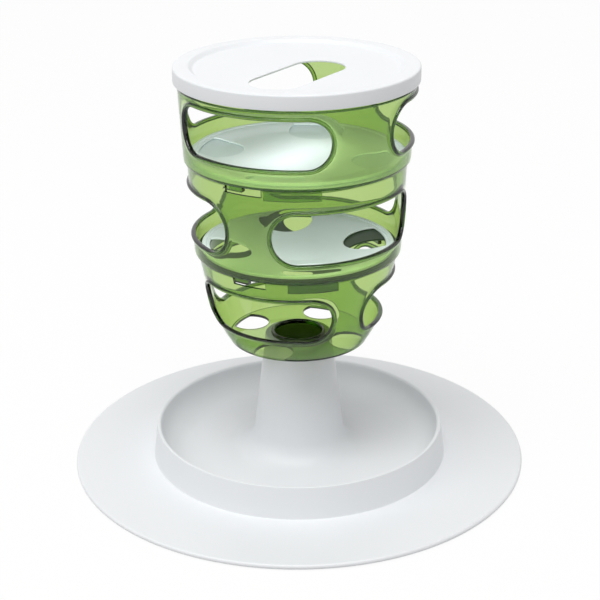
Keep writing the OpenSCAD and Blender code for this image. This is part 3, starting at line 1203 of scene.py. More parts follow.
    @staticmethod
    def _join(piece: bpy.types.Object, other: bpy.types.Object) -> None:
        """Joins another object's mesh into a piece."""
        choose(other, piece)
        bpy.ops.object.join()

    @staticmethod
    def _bridge(piece: bpy.types.Object, first: Flat, second: Flat) -> None:
        """Bridges two open circles of a piece.

        Args:
            piece: The piece.
            first: Radius and height of one circle.
            second: Radius and height of the other.
        """
        bpy.ops.object.mode_set(mode="EDIT")
        bpy.ops.mesh.select_all(action="DESELECT")
        mesh = bmesh.from_edit_mesh(piece.data)
        for edge in mesh.edges:
            for radius, height in (first, second):
                if edge.is_boundary and all(Modeller._lies_on(v.co, radius, height) for v in edge.verts):
                    edge.select_set(True)
        bmesh.update_edit_mesh(piece.data)
        bpy.ops.mesh.bridge_edge_loops()
        bpy.ops.mesh.select_all(action="SELECT")
        bpy.ops.mesh.normals_make_consistent(inside=False)
        bpy.ops.object.mode_set(mode="OBJECT")


@dataclass
class FloorSet:
    """The dished floor plate of an upper stage and the white shutter disc that turns on it.

    Attributes:
        stage: The stage that carries them.
        plate_turn: Azimuth of the plate's first petal.
        disc_turn: Turn of the disc past the plate.
        dish_depth: How far the floor's middle lies below its edge.
        dish_radius: Radius of the floor's level middle.
        dish_gap: Gap between plate and disc in the slope.
        plate_thickness: Thickness of the plate.
        plate_gap: Gap between the plate and the wall.
        disc_thickness: Thickness of the disc.
        disc_gap: Gap between the disc and the wall.
        disc_rim_width: Width of the disc's raised rim.
        disc_rim_height: Height of that rim.
        petal_width: Width of a petal's round end.
        petal_edge: Disc left outside a petal.
        petal_inset: How far a round end's middle lies inside the arc that cuts it off.
        petal_foot: Sheet left inside a petal.
        petal_band: Sheet outside a petal that belongs to its cell.
        pivot_radius: Radius of the pivot pin.
        pivot_gap: Gap round the pin.
        boss_height: How far the boss reaches down.
        boss_wall: Thickness of the boss round the pin.
        edge_round: Rounding of the edges.
        petal_round: Rounding of the edges of the disc's petals.
    """

    stage: UpperStage
    plate_turn: float
    disc_turn: float
    dish_depth: float
    dish_radius: float
    dish_gap: float = 0.3
    plate_thickness: float = 1.4
    plate_gap: float = 0.5
    disc_thickness: float = 1.6
    disc_gap: float = 3.5
    disc_rim_width: float = 3.0
    disc_rim_height: float = 0.8
    petal_width: float = 43
    petal_edge: float = 6
    petal_inset: float = 10
    petal_foot: float = 5
    petal_band: float = 1.4
    pivot_radius: float = 5
    pivot_gap: float = 0.1
    boss_height: float = 1.9
    boss_wall: float = 2.4
    edge_round: float = 0.35
    petal_round: float = 0.65

    @property
    def disc_radius(self) -> float:
        """Radius of the shutter disc."""
        return self.stage.floor_radius - self.disc_gap

    @property
    def petal_outer(self) -> float:
        """Radius of the arc that cuts the petals off."""
        return self.disc_radius - self.petal_edge

    @property
    def slope_radius(self) -> float:
        """Radius at which the floor leaves the ledge and slopes down."""
        return self.stage.floor_radius - self.stage.ledge_width - self.plate_gap

    def sheet(self, low: float, thickness: float, turn: float, shift: float, rounding: float) -> PetalSheet:
        """Gives a sheet with the petals of this floor.

        Args:
            low: Height of the lower face at its edge.
            thickness: Thickness of the sheet.
            turn: Azimuth of the first petal.
            shift: How far the slope is moved inwards.
            rounding: Rounding of the petals' edges.

        Returns:
            The sheet.
        """
        return PetalSheet(
            low=low, thickness=thickness, turn=turn, width=self.petal_width,
            middle=self.petal_outer - self.petal_inset, outer=self.petal_outer,
            border_in=self.petal_outer - self.petal_inset - self.petal_width / 2 - self.petal_foot,
            border_out=self.petal_outer + self.petal_band, rounding=rounding,
            dish=Dish(self.dish_depth, self.dish_radius - shift, self.slope_radius - shift))

    def plate(self) -> bpy.types.Object:
        """Models the fixed floor plate with its pivot boss.

        Returns:
            The finished mesh.
        """
        low = self.stage.ledge + REST_GAP
        sheet = self.sheet(low, self.plate_thickness - REST_GAP, self.plate_turn, 0.0, self.edge_round)
        modeller = Modeller(f"{self.stage.node}_plate")
        sheet.build(modeller)
        outside = self.stage.floor_radius - self.plate_gap
        edge = self.edge_round
        middle = sheet.low + sheet.thickness / 2
        rim = [(outside - r, middle + z) for r, z in reversed(sheet_edge(sheet.thickness, edge))]
        modeller.pick_circle(*sheet.over(sheet.border_out))
        modeller.rings([*rim, sheet.under(sheet.border_out)])
        bore = self.pivot_radius + self.pivot_gap
        boss = self.pivot_radius + self.boss_wall
        top = sheet.over(bore)[1]
        boss_low = low - self.dish_depth + self.plate_thickness / 2 - self.boss_height
        modeller.pick_circle(*sheet.over(sheet.border_in))
        modeller.rings([sheet.over(r) for r in sheet.inward(bore + edge)])
        modeller.rings([(bore, top - edge), (bore, boss_low)])
        modeller.rings([(boss - edge, boss_low), (boss, boss_low + edge)])
        modeller.rings([sheet.under(r) for r in reversed(sheet.inward(boss))])
        modeller.rings([sheet.under(sheet.border_in)])
        piece = modeller.close()
        smooth(piece)
        return piece

    def disc(self) -> bpy.types.Object:
        """Models the shutter disc with its raised rim and pivot pin.

        Returns:
            The finished mesh.
        """
        low = self.stage.ledge + self.plate_thickness + REST_GAP
        shift = self.dish_gap * (self.slope_radius - self.dish_radius) / self.dish_depth
        turn = self.plate_turn + self.disc_turn
        sheet = self.sheet(low, self.disc_thickness - REST_GAP, turn, shift, self.petal_round)
        modeller = Modeller(f"{self.stage.node}_disc")
        sheet.build(modeller)
        high = sheet.low + sheet.thickness
        rise = self.disc_rim_height
        rim_in = self.disc_radius - self.disc_rim_width
        edge = self.edge_round
        flank = [(rim_in - rise + rise * t, high + rise * (1 - math.cos(math.pi * t)) / 2)
                 for t in (i / 6 for i in range(7))]
        outer = arc((self.disc_radius - rise / 2, high + rise / 2), rise / 2, 90, 0, 5)
        under = arc((self.disc_radius - edge, sheet.low + edge), edge, 0, -90, 4)
        modeller.pick_circle(*sheet.over(sheet.border_out))
        modeller.rings([*flank, *outer, *under, sheet.under(sheet.border_out)])
        modeller.pick_circle(*sheet.over(sheet.border_in))
        modeller.rings([sheet.over(r) for r in [*sheet.inward(self.pivot_radius), 0.0]])
        pin_low = low - REST_GAP - self.dish_depth - self.boss_height
        modeller.pick_circle(*sheet.under(sheet.border_in))
        modeller.rings([sheet.under(r) for r in sheet.inward(self.pivot_radius)])
        modeller.rings([(self.pivot_radius, pin_low + edge), (self.pivot_radius - edge, pin_low)])
        modeller.ring(0, pin_low)
        piece = modeller.close()
        smooth(piece)
        return piece


@dataclass
class Lid:
    """The white lid with its skirt, raised rim and round-ended slot.

    Attributes:
        seat: Height of the rim that it rests on.
        radius: Outer radius of the skirt.
        height: Height from the skirt's foot to the raised rim.
        thickness: Thickness of the raised rim over its seat.
        wall: Thickness of the skirt.
        rim_width: Width of the raised rim.
        slope_width: Width of the slope down to the sunk middle.
        recess: Depth of the sunk middle.
        plate_thickness: Thickness of the sunk middle.
        rounding: Rounding of the outer corner.
        bevel: Rounding of the skirt's foot and of its inner corner.
        soft: How far the slope's bends reach past it.
        support: Level width inside the outer corner.
        slot_round: Rounding of the slot's edges.
        slot_length: Length of the slot.
        slot_width: Width of the slot.
        slot_turn: Turn of the slot from +X in degrees.
        slot_middle: Place of the slot's middle.
        straight_steps: Edges along the slot's straight side.
        end_steps: Edges round the slot's end.
        slope_steps: Rings of the slope.
    """

    seat: float
    radius: float
    height: float = 11.1
    thickness: float = 2.89
    wall: float = 1.8
    rim_width: float = 11.6
    slope_width: float = 3.2
    recess: float = 2.79
    plate_thickness: float = 1.5
    rounding: float = 1.4
    bevel: float = 0.5
    soft: float = 0.6
    support: float = 1.0
    slot_round: float = 0.45
    slot_length: float = 93.5
    slot_width: float = 40
    slot_turn: float = 56
    slot_middle: Flat = (1.0, -22.0)
    straight_steps: int = 40
    end_steps: int = 56
    slope_steps: int = 12

    @property
    def top(self) -> float:
        """Height of the raised rim."""
        return self.seat + self.thickness

    def _slot_loop(self, grow: float, height: float) -> list[Vector]:
        """Gives the slot's outline at a height.

        Args:
            grow: How far the outline lies outside the slot.
            height: Height of the outline.

        Returns:
            Its corners in metres.
        """
        run = (self.slot_length - self.slot_width) / 2
        radius = self.slot_width / 2 + grow
        points = []
        for side in (1, -1):
            for j in range(self.end_steps):
                angle = math.radians(180 * j / self.end_steps - 90 * side)
                points.append((side * run + radius * math.cos(angle), radius * math.sin(angle)))
            for i in range(self.straight_steps):
                points.append((side * lerp(run, -run, i / self.straight_steps), side * radius))
        spin = Matrix.Rotation(math.radians(self.slot_turn), 2)
        shift = Vector(self.slot_middle)
        return [((spin @ Vector(p)) + shift).to_3d() * MM + Vector((0, 0, height * MM)) for p in points]

    def _circle_loop(self, radius: float, height: float) -> list[Vector]:
        """Gives a circle round the axis whose corners follow the slot's.

        Args:
            radius: Radius of the circle.
            height: Height of the circle.

        Returns:
            Its corners in metres.
        """
        count = 2 * (self.end_steps + self.straight_steps)
        start = self.slot_turn - 180 * self.end_steps / count
        angles = [math.radians(start + 360 * i / count) for i in range(count)]
        return [Vector((radius * math.cos(a), radius * math.sin(a), height)) * MM for a in angles]

    def build(self) -> bpy.types.Object:
        """Models the lid, from the inside of its skirt through the slot to the outside.

        Returns:
            The finished mesh.
        """
        skirt_low = self.top - self.height
        inside = self.radius - self.wall
        seat = self.seat + REST_GAP
        rim_in = self.radius - self.rim_width
        plate_r = rim_in - self.slope_width
        plate_z = self.top - self.recess
        plate_low = plate_z - self.plate_thickness
        slot_edge = sheet_edge(self.plate_thickness, self.slot_round)
        middle = plate_z - self.plate_thickness / 2
        bevel, soft = self.bevel, self.soft
        shares = [i / self.slope_steps for i in range(self.slope_steps + 1)]
        waves = [(t * t * (3 - 2 * t), t) for t in shares]
        under = [(lerp(rim_in + soft, plate_r - soft, t), lerp(seat, plate_low, w)) for w, t in waves]
        slope = [(lerp(plate_r - soft, rim_in + soft, t), lerp(plate_z, self.top, w)) for w, t in waves]
        corner = arc((self.radius - self.rounding, self.top - self.rounding), self.rounding, 90, 0, 10)
        foot = arc((self.radius - bevel, skirt_low + bevel), bevel, 0, -90, 5)
        inner_foot = arc((inside + bevel, skirt_low + bevel), bevel, 270, 180, 5)
        fillet = arc((inside - bevel, seat - bevel), bevel, 0, 90, 5)
        modeller = Modeller("lid_cover")
        circles_in = [*inner_foot, *fillet, *under]
        level = (self.radius - self.rounding - self.support, self.top)
        circles_out = [*slope, level, *corner, *foot, inner_foot[0]]
        modeller.first_loop(self._circle_loop(*circles_in[0]))
        for radius, height in circles_in[1:]:
            modeller.loop(self._circle_loop(radius, height))
        for distance, height in slot_edge:
            modeller.loop(self._slot_loop(distance, middle + height))
        for radius, height in circles_out:
            modeller.loop(self._circle_loop(radius, height))
        piece = modeller.close()
        smooth(piece)
        return piece


@dataclass
class Tray:
    """The white tray: brim, dish and hollow column in one moulding.

    Attributes:
        radius: Radius over the brim.
        ground: Height of the brim's underside over the floor.
        edge_height: Thickness of the brim's rounded edge.
        brim_height: Height of the brim at the dish over its underside.
        brim_sag: How far the brim's ends bend off the straight line between them.
        skin: Thickness of the moulding.
        dish_radius: Inner radius of the dish at its rim.
        dish_height: Height of the rim over the brim's underside.
        rim_width: Width of the rim.
        lean_out: How far the dish's outer face runs out towards its foot.
        lean_in: How far the dish's inner face runs in towards its floor.
        floor_height: Height of the dish's floor over the brim's underside.
        dish_fillet: Fillet round the dish's floor.
        hollow_start: Angle at which the hollow behind that fillet starts.
        brim_fillet: Fillet between the dish and the brim.
        rim_inner_round: Rounding of the rim's inner corner.
        rim_outer_round: Rounding of the rim's outer corner.
        column_top: Height of the column.
        column_top_radius: Radius at the column's top.
        column_foot_radius: Radius of the column's flank carried down to the floor.
        column_fillet: Fillet at the column's foot.
        column_edge: Rounding of the column's upper edge.
        socket_radius: Radius of the socket in the column.
        socket_depth: Depth of that socket.
        socket_chamfer: Chamfer at its mouth.
        level_run: Level ring past a fillet of the dish's floor.
        brim_run: Ring past the brim's fillet and inside its edge.
        foot_radius: Radius of a rubber foot.
        foot_ring: Radius of the circle that the feet stand on.
        foot_seat: Depth of a foot's seat.
        foot_gap: Gap round a foot.
        seat_rim: Wall round a seat.
        feet: Number of feet.
        steps: Edges round a ring.
        peg_steps: Edges round a foot's seat.
    """

    radius: float = 179.93
    ground: float = 0.8
    edge_height: float = 4
    brim_height: float = 3.7
    brim_sag: float = 0.02
    skin: float = 2.6
    dish_radius: float = 110.8
    dish_height: float = 29.4
    rim_width: float = 3.4
    lean_out: float = 3.0
    lean_in: float = 1.5
    floor_height: float = 6
    dish_fillet: float = 20
    hollow_start: float = 15
    brim_fillet: float = 0.7
    rim_inner_round: float = 2.0
    rim_outer_round: float = 0.8
    column_top: float = 104.6
    column_top_radius: float = 26.1
    column_foot_radius: float = 37.95
    column_fillet: float = 20
    column_edge: float = 1.2
    socket_radius: float = 21
    socket_depth: float = 15
    socket_chamfer: float = 1
    level_run: float = 2
    brim_run: float = 1
    foot_radius: float = 8
    foot_ring: float = 158
    foot_seat: float = 1.2
    foot_gap: float = 0.2
    seat_rim: float = 1.6
    feet: int = 4
    steps: int = 256
    peg_steps: int = 64

    @property
    def brim_z(self) -> float:
        """Height of the brim at the dish."""
        return self.ground + self.brim_height

    @property
    def rim_z(self) -> float:
        """Height of the dish's rim."""
        return self.ground + self.dish_height

    @property
    def floor_z(self) -> float:
        """Height of the dish's floor."""
        return self.ground + self.floor_height

    @property
    def wall_foot(self) -> float:
        """Radius of the dish's outer face at the brim."""
        return self.dish_radius + self.rim_width + self.lean_out

    @property
    def taper(self) -> float:
        """Lean of the column's flank in degrees."""
        slim = self.column_foot_radius - self.column_top_radius
        return math.degrees(math.atan2(slim, self.column_top - self.floor_z))

    @property
    def inward(self) -> float:
        """Lean of the dish's inner face in degrees."""
        return math.degrees(math.atan2(self.lean_in, self.rim_z - self.floor_z))

    @property
    def column_centre(self) -> Flat:
        """Radius and height of the centre of the fillet at the column's foot."""
        run = self._fillet_run(self.column_fillet, self.taper)
        return self.column_foot_radius + run, self.floor_z + self.column_fillet

    @property
    def dish_centre(self) -> Flat:
        """Radius and height of the centre of the fillet round the dish's floor."""
        run = self._fillet_run(self.dish_fillet, self.inward)
        return self.dish_radius - self.lean_in - run, self.floor_z + self.dish_fillet

    def outer_profile(self) -> list[Flat]:
        """Gives the upper side, from the socket's mouth down the column and out to the brim's edge.

        Returns:
            Radius and height of each ring.
        """
        out = math.degrees(math.atan2(self.lean_out, self.rim_z - self.brim_z))
        top = self.column_top - REST_GAP
        edge = self.edge_height / 2
        rim_r = self.dish_radius + self.rim_width - self.rim_outer_round
        brim_r = self.wall_foot + self._fillet_run(self.brim_fillet, out)
        return [
            (self.socket_radius, top - self.socket_chamfer),
            (self.socket_radius + self.socket_chamfer, top),
            *arc((self.column_top_radius - self.column_edge, top - self.column_edge),
                 self.column_edge, 90, self.taper, 6),
            *arc(self.column_centre, self.column_fillet, 180 + self.taper, 270, 14),
            (self.column_centre[0] + self.level_run, self.floor_z),
            (self.dish_centre[0] - self.level_run, self.floor_z),
            *arc(self.dish_centre, self.dish_fillet, -90, -self.inward, 12),
            *arc((self.dish_radius + self.rim_inner_round, self.rim_z - self.rim_inner_round),
                 self.rim_inner_round, 180 - self.inward, 90, 8),
            *arc((rim_r, self.rim_z - self.rim_outer_round), self.rim_outer_round, 90, out, 6),
            *arc((brim_r, self.brim_z + self.brim_fillet), self.brim_fillet, 180 + out, 270, 8),
            (brim_r + self.brim_run, self.brim_z - self.brim_sag),
            (self.radius - edge - self.brim_run, self.ground + self.edge_height + self.brim_sag),
            *arc((self.radius - edge, self.ground + edge), edge, 90, -90, 16),
        ]

    def under_profile(self) -> list[Flat]:
        """Gives the underside, from the brim's edge in to the top of the column's hollow.

        Returns:
            Radius and height of each ring.
        """
        ceiling = self.column_top - self.socket_depth - self.skin
        share = (ceiling - self.floor_z) / (self.column_top - self.floor_z)
        flank = lerp(self.column_foot_radius, self.column_top_radius, share)
        return [
            (self.radius - self.edge_height, self.ground + self.edge_height - self.skin),
            (self.wall_foot - self.skin, self.brim_z - self.skin),
            *arc(self.dish_centre, self.dish_fillet + self.skin, -self.hollow_start, -90, 10),
            *arc(self.column_centre, self.column_fillet + self.skin, 270, 180 + self.taper, 10),
            (flank - self.skin / math.cos(math.radians(self.taper)), ceiling),
            (0, ceiling),
        ]

    @staticmethod
    def _fillet_run(radius: float, lean: float) -> float:
        """Gives the distance from a corner to its fillet's centre along the level face."""
        return radius * (1 - math.sin(math.radians(lean))) / math.cos(math.radians(lean))

    def build(self) -> bpy.types.Object:
        """Models the tray.

        Returns:
            The finished mesh.
        """
        socket_floor = self.column_top - self.socket_depth
        modeller = Modeller("tray_moulding")
        modeller.circle(self.socket_radius, socket_floor, self.steps)
        modeller.rings([*self.outer_profile(), *self.under_profile()])
        modeller.pick_circle(self.socket_radius, socket_floor)
        modeller.ring(0, socket_floor)
        piece = modeller.close()
        seat = self.foot_radius + self.foot_gap
        boss_top = self.ground + self.edge_height - self.skin / 2
        combine(piece, self._pegs(seat + self.seat_rim, self.ground, boss_top), Cut.ADD)
        clear = 1.0
        combine(piece, self._pegs(seat, self.ground - clear, self.ground + self.foot_seat), Cut.TAKE)
        smooth(piece)
        return piece

    def _pegs(self, radius: float, low: float, high: float) -> bpy.types.Object:
        """Models a round peg at the place of each foot.

        Args:
            radius: Radius of a peg.
            low: Height of its lower end.
            high: Height of its upper end.

        Returns:
            One object of closed pegs.
        """
        modeller = Modeller("pegs")
        modeller.circle(radius, low, self.peg_steps)
        modeller.rings([(radius, high), (0, high)])
        modeller.pick_circle(radius, low)
        modeller.ring(0, low)
        bpy.ops.mesh.select_all(action="SELECT")
        reach = self.foot_ring * math.sqrt(0.5) * MM
        bpy.ops.transform.translate(value=(reach, reach, 0))
        modeller.fold(self.feet)
        return modeller.close()


def moulded_skin() -> bpy.types.NodeTree:
    """Builds the shared group of faint clouding and grain that moulded plastic and rubber show.

    Returns:
        A node group with the outputs Cloud and Grain.
    """
    group = bpy.data.node_groups.new("moulded_skin", "ShaderNodeTree")
    sockets = group.interface
    for name, value in (("Cloud Scale", 18.0), ("Grain Scale", 900.0)):
        sockets.new_socket(name, in_out="INPUT", socket_type="NodeSocketFloat").default_value = value
    for name in ("Cloud", "Grain"):
        sockets.new_socket(name, in_out="OUTPUT", socket_type="NodeSocketFloat")
    enter = group.nodes.new("NodeGroupInput")
    leave = group.nodes.new("NodeGroupOutput")
    place = group.nodes.new("ShaderNodeTexCoord")
    for name, detail in (("Cloud", 2.0), ("Grain", 5.0)):
        noise = group.nodes.new("ShaderNodeTexNoise")
        noise.inputs["Detail"].default_value = detail
        group.links.new(place.outputs["Object"], noise.inputs["Vector"])
        group.links.new(enter.outputs[f"{name} Scale"], noise.inputs["Scale"])
        group.links.new(noise.outputs["Fac"], leave.inputs[name])
    return group


def skinned(name: str, skin: bpy.types.NodeTree, scales: Flat, gloss: Flat,
            depth: float) -> tuple[bpy.types.Material, bpy.types.Node]:
    """Builds a material whose gloss follows the clouding and whose normals follow the grain.

    Args:
        name: Name of the material.
        skin: The shared group of clouding and grain.
        scales: Scale of the clouding and of the grain.
        gloss: Lowest and highest roughness.
        depth: Depth of the grain in metres.

    Returns:
        The material and its node of the shared group.
    """
    material = bpy.data.materials.new(name)
    material.use_nodes = True
    nodes, links = material.node_tree.nodes, material.node_tree.links
    shader = nodes["Principled BSDF"]
    group = nodes.new("ShaderNodeGroup")
    group.node_tree = skin
    group.inputs["Cloud Scale"].default_value, group.inputs["Grain Scale"].default_value = scales
    rough = nodes.new("ShaderNodeMapRange")
    rough.inputs["To Min"].default_value, rough.inputs["To Max"].default_value = gloss
    links.new(group.outputs["Cloud"], rough.inputs["Value"])
    links.new(rough.outputs["Result"], shader.inputs["Roughness"])
    bump = nodes.new("ShaderNodeBump")
    bump.inputs["Distance"].default_value = depth
    links.new(group.outputs["Grain"], bump.inputs["Height"])
    links.new(bump.outputs["Normal"], shader.inputs["Normal"])
    return material, group


def blend_colour(material: bpy.types.Material, factor: bpy.types.NodeSocket,
                 low: Colour, high: Colour) -> None:
    """Lets a material's colour run from one to another.

    Args:
        material: The material.
        factor: Socket that gives the share of the second colour.
        low: Colour where the factor is 0.
        high: Colour where the factor is 1.
    """
    nodes, links = material.node_tree.nodes, material.node_tree.links
    tone = nodes.new("ShaderNodeMix")
    tone.data_type = "RGBA"
    tone.inputs["A"].default_value = low
    tone.inputs["B"].default_value = high
    links.new(factor, tone.inputs["Factor"])
    links.new(tone.outputs["Result"], nodes["Principled BSDF"].inputs["Base Color"])


@dataclass(frozen=True)
class MouldedFinish:
    """An opaque moulded finish: a clouded colour, a clouded gloss and a fine grain.

    Attributes:
        pale: Colour where the cloud is high.
        deep: Colour where the cloud is low.
        gloss: Lowest and highest roughness.
        cloud_scale: Scale of the clouding.
        grain_scale: Scale of the grain.
        grain_depth: Depth of the grain in metres.
        shine: Specular level.
    """

    pale: Colour
    deep: Colour
    gloss: Flat
    cloud_scale: float = 14.0
    grain_scale: float = 1400.0
    grain_depth: float = 0.00002
    shine: float = 0.5

    def build(self, name: str, skin: bpy.types.NodeTree) -> bpy.types.Material:
        """Builds the material.

        Args:
            name: Name of the material.
            skin: The shared group of clouding and grain.

        Returns:
            The material.
        """
        scales = (self.cloud_scale, self.grain_scale)
        material, group = skinned(name, skin, scales, self.gloss, self.grain_depth)
        blend_colour(material, group.outputs["Cloud"], self.deep, self.pale)
        shader = material.node_tree.nodes["Principled BSDF"]
        shader.inputs["Specular IOR Level"].default_value = self.shine
        return material


@dataclass(frozen=True)
class ClearFinish:
    """A see-through plastic that takes light by its depth, so that thin walls are pale and edges dark;
    marked lips, rims, the lid bead and tabs also get painted shade in their colour.

    Attributes:
        depth_colour: Colour that the plastic lets through.
        density: Strength of what it takes.
        edge_tint: Colour of the painted shade that marked lips, rims, the lid bead and tabs take on.
        gloss: Lowest and highest roughness.
        index: Index of refraction.
        wave_depth: Depth of the faint moulding waves in metres.
        cloud_scale: Scale of the clouding.
        wave_scale: Scale of the waves.
    """

    depth_colour: Colour
    density: float
    edge_tint: Colour
    gloss: Flat
    index: float
    wave_depth: float
    cloud_scale: float = 30.0
    wave_scale: float = 60.0

    def build(self, name: str, skin: bpy.types.NodeTree) -> bpy.types.Material:
        """Builds the material.

        Args:
            name: Name of the material.
            skin: The shared group of clouding and grain.

        Returns:
            The material.
        """
        scales = (self.cloud_scale, self.wave_scale)
        material, _ = skinned(name, skin, scales, self.gloss, self.wave_depth)
        nodes, links = material.node_tree.nodes, material.node_tree.links
        shader = nodes["Principled BSDF"]
        shader.inputs["Transmission Weight"].default_value = 1.0
        shader.inputs["IOR"].default_value = self.index
        # Painted shade: the marked faces of lips, rims, the lid bead and tabs are tinted dark.
        edge = nodes.new("ShaderNodeAttribute")
        edge.attribute_name = EDGE_LAYER
        blend_colour(material, edge.outputs["Fac"], (1, 1, 1, 1), self.edge_tint)
        inside = nodes.new("ShaderNodeVolumeAbsorption")
        inside.inputs["Color"].default_value = self.depth_colour
        inside.inputs["Density"].default_value = self.density
        links.new(inside.outputs["Volume"], nodes["Material Output"].inputs["Volume"])
        return material


@dataclass(frozen=True)
class SoftLamp:
    """A large soft lamp that looks at a point of the object.

    Attributes:
        name: Name of the lamp.
        place: Where it stands, in metres.
        size: Width of its square face in metres.
        power: Power in watts.
        only: Names of the only pieces that it lights, or none for all.
        shade: Names of the further pieces that shade those.
    """

    name: str
    place: tuple[float, float, float]
    size: float
    power: float
    only: tuple[str, ...] = ()
    shade: tuple[str, ...] = ()

    def hang(self, aim: Vector) -> None:
        """Adds the lamp.

        Args:
            aim: Point that it looks at.
        """
        light = bpy.data.lights.new(self.name, "AREA")
        light.size = self.size
        light.energy = self.power
        lamp = bpy.data.objects.new(self.name, light)
        bpy.context.collection.objects.link(lamp)
        lamp.location = self.place
        lamp.rotation_euler = (aim - lamp.location).to_track_quat("-Z", "Y").to_euler()
        if self.only:
            lamp.light_linking.receiver_collection = self._group("lit", self.only)
            lamp.light_linking.blocker_collection = self._group("shade", self.only + self.shade)

    def _group(self, use: str, names: tuple[str, ...]) -> bpy.types.Collection:
        """Collects pieces for a use of this lamp.

        Args:
            use: What they are collected for.
            names: Names of the pieces.

        Returns:
            The collection.
        """
        pieces = bpy.data.collections.new(f"{self.name}_{use}")
        for name in names:
            pieces.objects.link(bpy.data.objects[name])
        return pieces


@dataclass
class Studio:
    """The pale floor, the soft light and the camera.

    Attributes:
        eye: Place of the camera.
        aim: Point that the camera looks at.
        roll: Turn of the camera about its own axis in radians.
        focal: Focal length in image widths.
        floor_size: Width of the floor in metres.
        floor_grey: Grey of the floor as it reflects light.
        floor_light: Strength of the floor's glow.
        floor_glow: Share of the glow in what the camera sees of the floor.
        sky: Strength of the even light from all round.
        lamps: The soft lamps.
    """

    eye: tuple[float, float, float] = (1.379, -1088.74, 589.05)
    aim: tuple[float, float, float] = (1.379, 0.0, 132.96)
    roll: float = -0.0063
    focal: float = 1507.12 / 600
    floor_size: float = 14.0
    floor_grey: float = 0.62
    floor_light: float = 1.035
    floor_glow: float = 0.9
    sky: float = 0.48
    lamps: list[SoftLamp] = field(default_factory=lambda: [
        SoftLamp("key_lamp", (-2.2, -1.0, 2.6), size=2.0, power=24.0),
        SoftLamp("top_lamp", (-0.1, -1.1, 3.4), size=2.2, power=65.0),
        SoftLamp("top_floor_lamp", (-0.2, -1.9, 1.18), size=1.2, power=38.0,
                 only=("top_stage_disc", "top_stage_plate"), shade=("lid_cover",)),
        SoftLamp("middle_floor_lamp", (0.0, -1.6, 1.55), size=1.2, power=40.0,
                 only=("middle_stage_disc",), shade=("top_stage_disc", "top_stage_plate")),
    ])

    def build(self) -> None:
        """Adds the floor, the light and the camera."""
        self._floor()
        self._sky()
        for lamp in self.lamps:
            lamp.hang(Vector(self.aim) * MM)
        self._camera()
        bpy.context.scene.view_settings.view_transform = "Standard"

    def _floor(self) -> None:
        """Adds the pale floor, which glows white where the camera sees it and keeps shadows."""
        bpy.ops.object.select_all(action="DESELECT")
        bpy.ops.mesh.primitive_plane_add(size=self.floor_size)
        floor = bpy.context.object
        floor.name = "studio_floor"
        material = bpy.data.materials.new("studio_floor_white")
        material.use_nodes = True
        nodes, links = material.node_tree.nodes, material.node_tree.links
        shader = nodes["Principled BSDF"]
        shader.inputs["Base Color"].default_value = (*[self.floor_grey] * 3, 1)
        shader.inputs["Roughness"].default_value = 0.9
        shader.inputs["Specular IOR Level"].default_value = 0.1
        glow = nodes.new("ShaderNodeEmission")
        glow.inputs["Strength"].default_value = self.floor_light
        mix = nodes.new("ShaderNodeMixShader")
        links.new(self._seen(nodes, links, self.floor_glow), mix.inputs["Fac"])
        links.new(shader.outputs["BSDF"], mix.inputs[1])
        links.new(glow.outputs["Emission"], mix.inputs[2])
        links.new(mix.outputs["Shader"], nodes["Material Output"].inputs["Surface"])
        floor.data.materials.append(material)

    @staticmethod
    def _seen(nodes: bpy.types.Nodes, links: bpy.types.NodeLinks, share: float) -> bpy.types.NodeSocket:
        """Gives a socket that is share for rays that look at the background, and 0 for the rest.

        Args:
            nodes: Nodes of the tree.
            links: Links of the tree.
            share: Value for the rays that look.

        Returns:
            The socket.
        """
        rays = nodes.new("ShaderNodeLightPath")
        total = rays.outputs["Is Camera Ray"]
        for name in ("Is Glossy Ray", "Is Transmission Ray"):
            either = nodes.new("ShaderNodeMath")
            either.operation = "MAXIMUM"
            links.new(total, either.inputs[0])
            links.new(rays.outputs[name], either.inputs[1])
            total = either.outputs["Value"]
        scale = nodes.new("ShaderNodeMath")
        scale.operation = "MULTIPLY"
        links.new(total, scale.inputs[0])
        scale.inputs[1].default_value = share
        return scale.outputs["Value"]

    def _sky(self) -> None:
        """Sets the even light from all round, which looks white to the camera and in reflections."""
        world = bpy.data.worlds.new("studio_sky")
        bpy.context.scene.world = world
        world.use_nodes = True
        nodes, links = world.node_tree.nodes, world.node_tree.links
        backing = nodes["Background"]
        extra = nodes.new("ShaderNodeMath")
        extra.operation = "ADD"
        extra.inputs[1].default_value = self.sky
        links.new(self._seen(nodes, links, 1 - self.sky), extra.inputs[0])
        links.new(extra.outputs["Value"], backing.inputs["Strength"])
        backing.inputs["Color"].default_value = (1, 1, 1, 1)

    def _camera(self) -> None:
        """Adds the camera at the viewing angle of the object's own picture."""
        data = bpy.data.cameras.new("studio_camera")
        data.lens = self.focal * data.sensor_width
        camera = bpy.data.objects.new("studio_camera", data)
        bpy.context.collection.objects.link(camera)
        camera.location = Vector(self.eye) * MM
        look = (Vector(self.aim) - Vector(self.eye)).to_track_quat("-Z", "Y").to_matrix().to_4x4()
        camera.rotation_euler = (look @ Matrix.Rotation(self.roll, 4, "Z")).to_euler()
        bpy.context.scene.camera = camera


